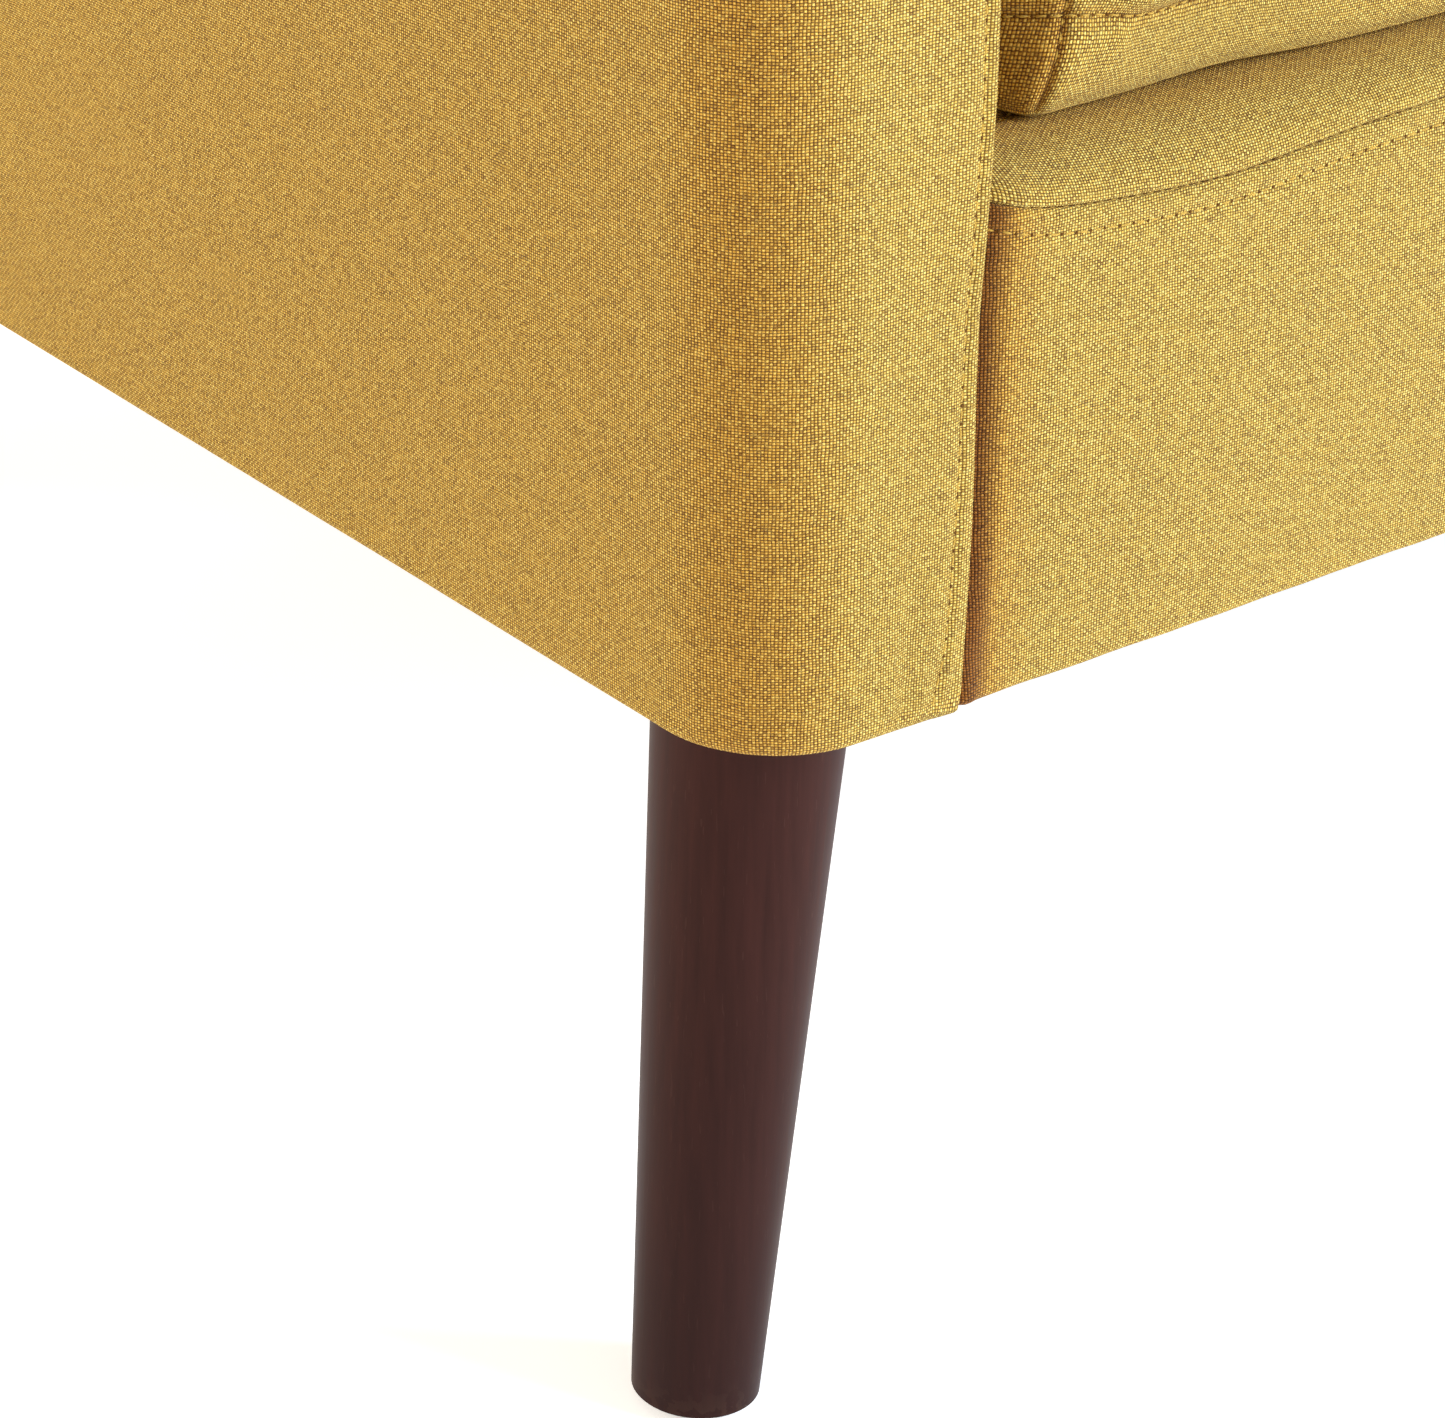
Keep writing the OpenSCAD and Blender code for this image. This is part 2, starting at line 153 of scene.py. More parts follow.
def grid_object(name, P, UV, wrap=False, flip=False):
    """P is (rows, columns, 3) in metres; UV is (rows, columns + wrap, 2) in metres of cloth."""
    nr, nc = P.shape[:2]
    q = grid_quads(nr, nc, wrap)
    nu = UV.shape[1]
    r, c = np.divmod(np.arange(len(q)), nc if wrap else nc - 1)
    uv = np.stack([UV[r, c], UV[r, c + 1], UV[r + 1, c + 1], UV[r + 1, c]], 1)
    if flip:
        q, uv = q[:, ::-1], uv[:, ::-1]
    return new_mesh(name, P.reshape(-1, 3), q.tolist(), uv.reshape(-1, 2))


def grid_normals(P, wrap=False):
    if wrap:
        du = np.roll(P, -1, 1) - np.roll(P, 1, 1)
    else:
        du = np.gradient(P, axis=1)
    dv = np.gradient(P, axis=0)
    n = np.cross(du, dv)
    return n / np.maximum(np.linalg.norm(n, axis=2, keepdims=True), 1e-12)


def close_ends(o):
    """fills the open boundary loops of a mesh"""
    import bmesh
    bm = bmesh.new()
    bm.from_mesh(o.data)
    edges = [e for e in bm.edges if e.is_boundary]
    if edges:
        bmesh.ops.holes_fill(bm, edges=edges, sides=0)
    bmesh.ops.recalc_face_normals(bm, faces=bm.faces)
    bm.to_mesh(o.data)
    bm.free()


def set_shade(o, values):
    a = o.data.attributes.new("shade", "FLOAT", "POINT")
    a.data.foreach_set("value", np.clip(np.asarray(values, np.float32), 0, 1))


def coords(o):
    co = np.zeros(len(o.data.vertices) * 3, np.float32)
    o.data.vertices.foreach_get("co", co)
    return co.reshape(-1, 3).astype(float)


def mirrored(o, name):
    """the same piece on the other side of the sofa"""
    me = o.data.copy()
    me.name = name
    co = np.zeros(len(me.vertices) * 3, np.float32)
    me.vertices.foreach_get("co", co)
    co = co.reshape(-1, 3)
    co[:, 0] *= -1
    me.vertices.foreach_set("co", co.ravel())
    me.flip_normals()
    me.update()
    c = bpy.data.objects.new(name, me)
    bpy.context.scene.collection.objects.link(c)
    return c


# ------------------------------------------------------------------ node helpers
class Nodes:
    def __init__(self, name):
        self.m = bpy.data.materials.new(name)
        self.m.use_nodes = True
        self.t = self.m.node_tree
        self.bsdf = self.t.nodes["Principled BSDF"]

    def add(self, kind, **kw):
        n = self.t.nodes.new(kind)
        for k, v in kw.items():
            setattr(n, k, v)
        return n

    def link(self, a, b):
        self.t.links.new(a, b)

    def put(self, sock, v):
        if isinstance(v, (int, float)):
            sock.default_value = v
        elif isinstance(v, (tuple, list)):
            sock.default_value = v
        else:
            self.link(v, sock)

    def math(self, op, a, b=0.0, c=None, clamp=False):
        n = self.add("ShaderNodeMath", operation=op, use_clamp=clamp)
        self.put(n.inputs[0], a)
        self.put(n.inputs[1], b)
        if c is not None:
            self.put(n.inputs[2], c)
        return n.outputs[0]

    def mix(self, fac, a, b, mode="MIX"):
        n = self.add("ShaderNodeMix", data_type="RGBA", blend_type=mode)
        self.put(n.inputs[0], fac)
        self.put(n.inputs[6], a)
        self.put(n.inputs[7], b)
        return n.outputs[2]

    def xyz(self, x, y, z=0.0):
        n = self.add("ShaderNodeCombineXYZ")
        for i, v in enumerate((x, y, z)):
            self.put(n.inputs[i], v)
        return n.outputs[0]

    def split(self, v):
        n = self.add("ShaderNodeSeparateXYZ")
        self.link(v, n.inputs[0])
        return n.outputs

    def noise(self, vec, scale, detail=2.0, rough=0.5, dist=0.0):
        n = self.add("ShaderNodeTexNoise")
        self.put(n.inputs["Vector"], vec)
        n.inputs["Scale"].default_value = scale
        n.inputs["Detail"].default_value = detail
        n.inputs["Roughness"].default_value = rough
        n.inputs["Distortion"].default_value = dist
        return n.outputs["Fac"]

    def white(self, vec):
        n = self.add("ShaderNodeTexWhiteNoise", noise_dimensions="3D")
        self.put(n.inputs["Vector"], vec)
        return n.outputs["Value"]

    def ramp(self, fac, stops):
        n = self.add("ShaderNodeValToRGB")
        e = n.color_ramp.elements
        while len(e) < len(stops):
            e.new(0.5)
        for el, (p, c) in zip(e, stops):
            el.position = p
            el.color = c if len(c) == 4 else (*c, 1)
        self.put(n.inputs[0], fac)
        return n.outputs[0]

    def bump(self, height, strength, distance, normal=None):
        n = self.add("ShaderNodeBump")
        n.inputs["Strength"].default_value = strength
        n.inputs["Distance"].default_value = distance
        self.put(n.inputs["Height"], height)
        if normal is not None:
            self.link(normal, n.inputs["Normal"])
        return n.outputs["Normal"]

    def attr(self, name):
        return self.add("ShaderNodeAttribute", attribute_name=name).outputs["Fac"]

    def uv(self):
        return self.add("ShaderNodeUVMap", uv_map="UVMap").outputs[0]

    def obj(self):
        return self.add("ShaderNodeTexCoord").outputs["Object"]

    def done(self, color=None, rough=None, normal=None, **sockets):
        b = self.bsdf
        if color is not None:
            self.put(b.inputs["Base Color"], color if not isinstance(color, tuple) else (*color[:3], 1))
        if rough is not None:
            self.put(b.inputs["Roughness"], rough)
        if normal is not None:
            self.link(normal, b.inputs["Normal"])
        for k, v in sockets.items():
            b.inputs[k.replace("_", " ")].default_value = v
        return self.m


PITCH_U, PITCH_V = 0.76 * MM, 0.63 * MM


def weave_material(name, light, mid, dark, seed=0.0, strength=1.0):
    """Plain weave: two sets of threads that pass over and under each other, on the piece's cloth coordinates."""
    k = Nodes(name)
    uv = k.uv()
    u, v, _ = k.split(uv)
    # threads wander a little
    wob = k.noise(uv, 150.0, 1.0)
    wob2 = k.noise(k.xyz(v, u, 3.1 + seed), 160.0, 1.0)
    U = k.math("MULTIPLY_ADD", wob, 1.0, k.math("MULTIPLY", u, 1 / PITCH_U))
    V = k.math("MULTIPLY_ADD", wob2, 1.0, k.math("MULTIPLY", v, 1 / PITCH_V))
    su = k.math("SINE", k.math("MULTIPLY", U, math.pi))
    sv = k.math("SINE", k.math("MULTIPLY", V, math.pi))
    over = k.math("GREATER_THAN", k.math("MULTIPLY", su, sv), 0.0)   # warp on top here, or weft
    under = k.math("SUBTRACT", 1.0, over)
    au, av = k.math("ABSOLUTE", su), k.math("ABSOLUTE", sv)
    warp = k.math("MULTIPLY", k.math("POWER", au, 0.62), k.math("POWER", av, 0.42))
    weft = k.math("MULTIPLY", k.math("MULTIPLY", k.math("POWER", au, 0.42), k.math("POWER", av, 0.66)), 0.62)
    h = k.math("ADD", k.math("MULTIPLY", warp, over), k.math("MULTIPLY", weft, under))
    # each crossing and each thread has a tone of its own
    iu, iv = k.math("FLOOR", U), k.math("FLOOR", V)
    tu = k.noise(k.xyz(k.math("MULTIPLY", iu, 7.13), k.math("MULTIPLY", V, 0.10), seed), 1.0, 1.0)
    tv = k.noise(k.xyz(k.math("MULTIPLY", U, 0.10), k.math("MULTIPLY", iv, 5.71), seed + 9), 1.0, 1.0)
    tone = k.math("ADD", k.math("MULTIPLY", tu, over), k.math("MULTIPLY", tv, under))
    cell = k.white(k.xyz(iu, iv, seed))
    fac = k.math("ADD", h, k.math("MULTIPLY", k.math("SUBTRACT", tone, 0.5), 0.16))
    fac = k.math("ADD", fac, k.math("MULTIPLY", k.math("SUBTRACT", cell, 0.5), 0.22))
    col = k.ramp(fac, [(0.240, dark), (0.468, tuple(0.45 * a + 0.55 * b for a, b in zip(dark, mid))), (0.680, mid), (1.000, light)])
    # thick and thin places in the yarn
    grain = k.noise(uv, 820.0, 1.0)
    col = k.mix(k.math("MULTIPLY", k.math("SUBTRACT", 0.50, grain, clamp=True), 2.3), col, (*[0.6 * a + 0.4 * b for a, b in zip(dark, mid)], 1))
    col = k.mix(k.math("MULTIPLY", k.math("SUBTRACT", grain, 0.54, clamp=True), 1.6), col, (*light, 1))
    # single dark crossings
    speck = k.math("GREATER_THAN", k.white(k.xyz(iu, iv, seed + 31.7)), 0.955)
    col = k.mix(k.math("MULTIPLY", speck, 0.42), col, (*dark, 1))
    # uneven yarn shows as faint bars a few millimetres long
    bars = k.noise(k.xyz(k.math("MULTIPLY", u, 0.25), v, 5.0), 420.0, 2.0)
    col = k.mix(k.math("MULTIPLY", k.math("SUBTRACT", 0.5, bars, clamp=True), 0.9), col, (*[0.8 * a for a in mid], 1))
    # painted shade: the 'shade' attribute multiplies the cloth's colour towards a dark orange-brown where shade falls:
    # in the gaps beside the arms and cushions, in the seam grooves, under the cushions and on the arms' rounded
    # corners; the tones were fitted to the colours seen there
    shade = k.attr("shade")
    col = k.mix(1.0, col, k.ramp(shade, [(0.0, (1, 1, 1)), (0.40, (0.98, 0.80, 0.58)), (1.0, (0.42, 0.21, 0.11))]), "MULTIPLY")
    # handling and dye: a slow change over the piece
    slow = k.noise(uv, 5.0, 2.0)
    col = k.mix(k.math("MULTIPLY", k.math("SUBTRACT", slow, 0.4, clamp=True), 0.20), col, (*mid, 1))
    rough = k.math("MULTIPLY_ADD", h, -0.10, 0.95)
    n = k.bump(h, strength, 0.00042)
    n = k.bump(k.noise(uv, 90.0, 2.0), 0.03, 0.0010, n)
    n = k.bump(k.noise(uv, 13.0, 2.0), 0.10, 0.0030, n)
    return k.done(col, rough, n, Sheen_Weight=0.16, Sheen_Roughness=0.5, Specular_IOR_Level=0.15,
                  Sheen_Tint=(1.0, 0.86, 0.55, 1.0))


FAB_LIGHT, FAB_MID, FAB_DARK = (0.96, 0.775, 0.235), (0.77, 0.478, 0.076), (0.10, 0.030, 0.004)
m_fabric = weave_material("mustard_weave_cloth", FAB_LIGHT, FAB_MID, FAB_DARK)


def thread_material(name, c, sheen):
    k = Nodes(name)
    p = k.obj()
    x, y, z = k.split(p)
    twist = k.math("SINE", k.math("MULTIPLY", k.math("ADD", k.math("ADD", x, y), k.math("MULTIPLY", z, 1.3)), 9000.0))
    col = k.mix(k.math("MULTIPLY_ADD", twist, 0.25, 0.35), (*c, 1), (*[0.55 * a for a in c], 1))
    return k.done(col, 0.8, k.bump(twist, 0.35, 0.0002), Sheen_Weight=sheen, Specular_IOR_Level=0.1)


m_thread = thread_material("sewing_thread", (0.66, 0.40, 0.070), 0.1)
# the needle holes' dark colour is painted shade for the small pits the needle leaves in the cloth
m_hole = thread_material("needle_hole", (0.14, 0.055, 0.008), 0.0)


def leg_material():
    k = Nodes("dark_stained_wood")
    p = k.obj()
    x, y, z = k.split(p)
    g = k.xyz(k.math("MULTIPLY", x, 1.0), k.math("MULTIPLY", y, 1.0), k.math("MULTIPLY", z, 0.06))
    grain = k.noise(g, 420.0, 4.0, 0.6, 0.25)
    streak = k.noise(k.xyz(x, y, k.math("MULTIPLY", z, 0.02)), 120.0, 2.0)
    pores = k.noise(k.xyz(k.math("MULTIPLY", x, 1.0), k.math("MULTIPLY", y, 1.0), k.math("MULTIPLY", z, 0.10)), 1500.0, 1.0)
    pore = k.math("GREATER_THAN", pores, 0.72)
    col = k.ramp(grain, [(0.25, (0.027, 0.0074, 0.0052)), (0.60, (0.040, 0.0112, 0.0082)), (0.95, (0.056, 0.0160, 0.0118))])
    col = k.mix(k.math("MULTIPLY", streak, 0.30), col, (0.043, 0.0130, 0.0100, 1))
    col = k.mix(k.math("MULTIPLY", pore, 0.25), col, (0.075, 0.032, 0.023, 1))
    # the stain is a little deeper towards the foot
    low = k.math("SUBTRACT", 1.0, k.math("MULTIPLY", z, 1 / 0.14), clamp=True)
    col = k.mix(k.math("MULTIPLY", low, 0.55), col, (0.017, 0.0056, 0.0050, 1))
    # the finish wears at the very end
    foot = k.math("SUBTRACT", 1.0, k.math("MULTIPLY", z, 1 / 0.012), clamp=True)
    worn = k.math("MULTIPLY", foot, k.math("GREATER_THAN", k.noise(p, 260.0, 3.0), 0.52))
    col = k.mix(k.math("MULTIPLY", worn, 0.10), col, (0.16, 0.095, 0.06, 1))
    rough = k.math("MULTIPLY_ADD", grain, 0.14, 0.40)
    n = k.bump(grain, 0.05, 0.0006)
    n = k.bump(pore, 0.10, 0.0002, n)
    return k.done(col, rough, n, Coat_Weight=0.03, Coat_Roughness=0.35, Specular_IOR_Level=0.075)


def timber_material(name, a, b, scale=90.0):
    k = Nodes(name)
    p = k.obj()
    x, y, z = k.split(p)
    g = k.noise(k.xyz(k.math("MULTIPLY", x, 0.12), y, z), scale, 4.0, 0.6, 0.8)
    fine = k.noise(k.xyz(k.math("MULTIPLY", x, 0.05), y, z), 900.0, 2.0)
    col = k.ramp(g, [(0.30, a), (0.55, tuple(0.5 * (i + j) for i, j in zip(a, b))), (0.75, b)])
    col = k.mix(k.math("MULTIPLY", fine, 0.25), col, (*[0.7 * i for i in a], 1))
    return k.done(col, 0.75, k.bump(fine, 0.2, 0.0005))


def foam_material(name, a, b, scale=900.0, rough=0.95, depth=0.0008):
    k = Nodes(name)
    p = k.obj()
    cells = k.add("ShaderNodeTexVoronoi")
    k.link(p, cells.inputs["Vector"])
    cells.inputs["Scale"].default_value = scale
    col = k.mix(cells.outputs["Distance"], (*a, 1), (*b, 1))
    return k.done(col, rough, k.bump(cells.outputs["Distance"], 0.5, depth), Specular_IOR_Level=0.15)


def steel_material(name, c, rough, metallic=1.0):
    k = Nodes(name)
    p = k.obj()
    s = k.noise(p, 700.0, 3.0)
    col = k.mix(k.math("MULTIPLY", s, 0.5), (*c, 1), (*[0.6 * i for i in c], 1))
    return k.done(col, k.math("MULTIPLY_ADD", s, 0.18, rough), k.bump(s, 0.08, 0.0002), Metallic=metallic)


def nonwoven_material():
    k = Nodes("black_nonwoven")
    p = k.obj()
    fib = k.noise(p, 1400.0, 3.0, 0.7)
    x, y, z = k.split(p)
    dots = k.math("MULTIPLY", k.math("SINE", k.math("MULTIPLY", x, 2600.0)), k.math("SINE", k.math("MULTIPLY", y, 2600.0)))
    pt = k.math("GREATER_THAN", dots, 0.75)
    col = k.ramp(fib, [(0.3, (0.020, 0.020, 0.022)), (0.8, (0.055, 0.055, 0.058))])
    col = k.mix(k.math("MULTIPLY", pt, 0.5), col, (0.012, 0.012, 0.013, 1))
    return k.done(col, 0.85, k.bump(k.math("SUBTRACT", fib, pt), 0.35, 0.0003), Sheen_Weight=0.1)


m_leg = leg_material()
m_timber = timber_material("sawn_softwood", (0.44, 0.29, 0.15), (0.68, 0.50, 0.31))
m_board = foam_material("fibreboard", (0.40, 0.29, 0.17), (0.30, 0.21, 0.12), 500.0, 0.9, 0.0003)
m_foam = foam_material("seat_foam", (0.86, 0.80, 0.58), (0.66, 0.60, 0.42))
m_fibre = foam_material("fibre_wadding", (0.90, 0.90, 0.88), (0.74, 0.74, 0.73), 300.0)
m_web = foam_material("elastic_webbing", (0.10, 0.10, 0.11), (0.05, 0.05, 0.055), 1300.0, 0.85, 0.0004)
m_felt = foam_material("needled_felt", (0.30, 0.30, 0.31), (0.20, 0.20, 0.21), 1500.0, 0.95, 0.0004)
m_steel = steel_material("spring_wire", (0.34, 0.34, 0.35), 0.38)
m_zinc = steel_material("zinc_plating", (0.62, 0.62, 0.60), 0.34)
m_brass = steel_material("antique_brass", (0.46, 0.36, 0.18), 0.34)
m_glide = foam_material("glide_nylon", (0.018, 0.018, 0.018), (0.028, 0.028, 0.028), 2600.0, 0.55, 0.0001)
m_dust = nonwoven_material()

SLOT_MATERIAL = {"frame_wood": m_timber, "board": m_board, "foam": m_foam, "fibre": m_fibre, "webbing": m_web,
                 "felt_pad": m_felt, "dust_cloth": m_dust, "spring_steel": m_steel, "zinc_plate": m_zinc,
                 "glide_plastic": m_glide, "zip_tape": m_fabric, "zip_metal": m_brass, "dark_wood": m_leg,
                 "mustard_weave": m_fabric}
for sp in frame["record"]["subparts"]:
    o = nodes[sp["node"]]
    mat = SLOT_MATERIAL[sp["material_slot"]]
    if len(o.material_slots) == 0:
        o.data.materials.append(mat)
    for s in o.material_slots:
        s.material = mat


# ------------------------------------------------------------------ stitches
def stitch_mesh(name, runs, length=3.0 * MM, pitch=4.0 * MM, width=0.62 * MM, height=0.34 * MM, holes=True, body="sofa"):
    """runs: lists of (points, normals); one thread stitch every pitch along each, with a needle hole between, drawn as
    a low disc whose dark colour is painted shade for the pit.
    """
    seg, rings = 6, 5
    tv = []
    for i in range(rings):
        t = -1 + 2 * i / (rings - 1)
        r = math.sqrt(max(0.0, 1 - t * t * 0.92)) if abs(t) < 1 else 0.25
        for j in range(seg):
            a = 2 * math.pi * j / seg
            tv.append((t * length / 2, math.cos(a) * width / 2 * r, math.sin(a) * height * r - 0.10 * MM - 0.22 * MM * t * t))
    tv = np.array(tv)
    tf = []
    for i in range(rings - 1):
        for j in range(seg):
            tf.append([i * seg + j, i * seg + (j + 1) % seg, (i + 1) * seg + (j + 1) % seg, (i + 1) * seg + j])
    tf.append(list(range(seg))[::-1])
    tf.append([(rings - 1) * seg + j for j in range(seg)])
    # the needle hole: a low disc in the dark hole colour, painted shade for the pit
    hv = []
    for i in range(3):
        r = (0.42, 0.36, 0.05)[i] * MM
        z = (0.03, 0.10, 0.13)[i] * MM
        for j in range(6):
            a = 2 * math.pi * j / 6
            hv.append((r * math.cos(a), r * math.sin(a), z))
    hv = np.array(hv)
    hf = []
    for i in range(2):
        for j in range(6):
            hf.append([i * 6 + j, i * 6 + (j + 1) % 6, (i + 1) * 6 + (j + 1) % 6, (i + 1) * 6 + j])
    hf.append([12 + j for j in range(6)])
    hf.append(list(range(6))[::-1])
    V, F, M = [], [], []
    base = 0
    rng = np.random.default_rng(7)
    for pts, nrm in runs:
        pts, nrm = np.asarray(pts, float), np.asarray(nrm, float)
        seglen = np.linalg.norm(np.diff(pts, axis=0), axis=1)
        s = np.concatenate([[0], np.cumsum(seglen)])
        n = int(s[-1] / pitch)
        if n < 1:
            continue
        at = (np.arange(n) + 0.5) * (s[-1] / n)

        def pick(a, arr):
            return np.stack([np.interp(a, s, arr[:, i]) for i in range(3)], 1)

        for shift, tmpl, faces, mi in ((0.0, tv, tf, 0), (pitch / 2, hv, hf, 1)):
            if mi == 1 and not holes:
                continue
            c = pick(at + shift, pts)
            t = pick(at + shift + 0.4 * pitch, pts) - pick(at + shift - 0.4 * pitch, pts)
            t /= np.maximum(np.linalg.norm(t, axis=1, keepdims=True), 1e-9)
            nn = pick(at + shift, nrm)
            nn -= (nn * t).sum(1, keepdims=True) * t
            nn /= np.maximum(np.linalg.norm(nn, axis=1, keepdims=True), 1e-9)
            b = np.cross(nn, t)
            wob = rng.normal(0, 0.05, len(c))[:, None]
            t2 = t + wob * b
            b2 = b - wob * t
            v = c[:, None] + tmpl[None, :, 0:1] * t2[:, None] + tmpl[None, :, 1:2] * b2[:, None] + tmpl[None, :, 2:3] * nn[:, None]
            V.append(v.reshape(-1, 3))
            f = np.arange(len(c))[:, None] * len(tmpl) + base
            for face in faces:
                F += (f + np.array(face)[None]).tolist()
                M += [mi] * len(c)
            base += len(c) * len(tmpl)
    o = new_mesh(name, np.concatenate(V), F)
    o.data.materials.append(m_thread)
    o.data.materials.append(m_hole)
    o.data.polygons.foreach_set("material_index", M)
    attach(o, body)
    return o


# ------------------------------------------------------------------ arms
mm = 1000.0
aw, D_mm, z0m, zam = ARM_W * mm, D * mm, Z0 * mm, ARM_Z * mm


def edge_shift(z):
    """how far the arm's inner front edge stands from its nominal line, with height over the lower edge"""
    return np.interp(z - z0m, [0, 20, 42, 75, 90, 105, 120, 135, 155, 220, 330, 402],
                     [-3.4, -2.4, -1.7, -1.2, -0.7, 0.7, 1.7, 2.3, 2.1, 1.9, 1.2, 0.3])


def stitch_off(z):
    """distance of the topstitch from that edge"""
    return np.interp(z - z0m, [0, 6, 14, 22, 43, 83, 125, 400], [8.4, 7.6, 5.9, 5.3, 4.7, 3.9, 3.8, 3.8])


def arm_outline():
    """plan of the arm, from its inner front edge round the outside and back; x from the outer side, y from the front"""
    pts, tag = [], []

    def put(x, y, t):
        pts.append((x, y))
        tag.append(t)
    for x in (59.6, 58.9, 58.2, 57.5, 56.8, 56.1, 55.4, 54.6, 53.6, 52.4, 51.0, 49.4, 47.5, 45.0, 42.0, 38.5, 34.5):
        put(x, 0.0 if x < 59.5 else 0.25, "front")
    for a in np.linspace(270, 180, 17):
        put(30 + 30 * math.cos(math.radians(a)), 30 + 30 * math.sin(math.radians(a)), "front")
    for y in spaced([(36, 6), (180, 10), (D_mm - 15)])[:-1]:
        put(0, y, "side")
    for a in np.linspace(180, 90, 9):
        put(15 + 15 * math.cos(math.radians(a)), D_mm - 15 + 15 * math.sin(math.radians(a)), "rear")
    for x in (22, 30, 38, 46, 53):
        put(x, D_mm, "rear")
    for a in np.linspace(90, 0, 5):
        put(aw - 5 + 5 * math.cos(math.radians(a)), D_mm - 5 + 5 * math.sin(math.radians(a)), "rear")
    for y in spaced([(D_mm - 12, 12), (60, 7), (12)]):
        put(aw, y, "inner")
    for x, y in ((aw, 8.5), (aw - 0.2, 6.2), (aw - 1.1, 5.0), (aw - 1.5, 4.3), (aw - 0.9, 3.7), (aw - 0.1, 3.0), (aw + 0.15, 2.1), (aw + 0.1, 1.3), (aw - 0.05, 0.7)):
        put(x, y, "fold")
    return np.array(pts), tag


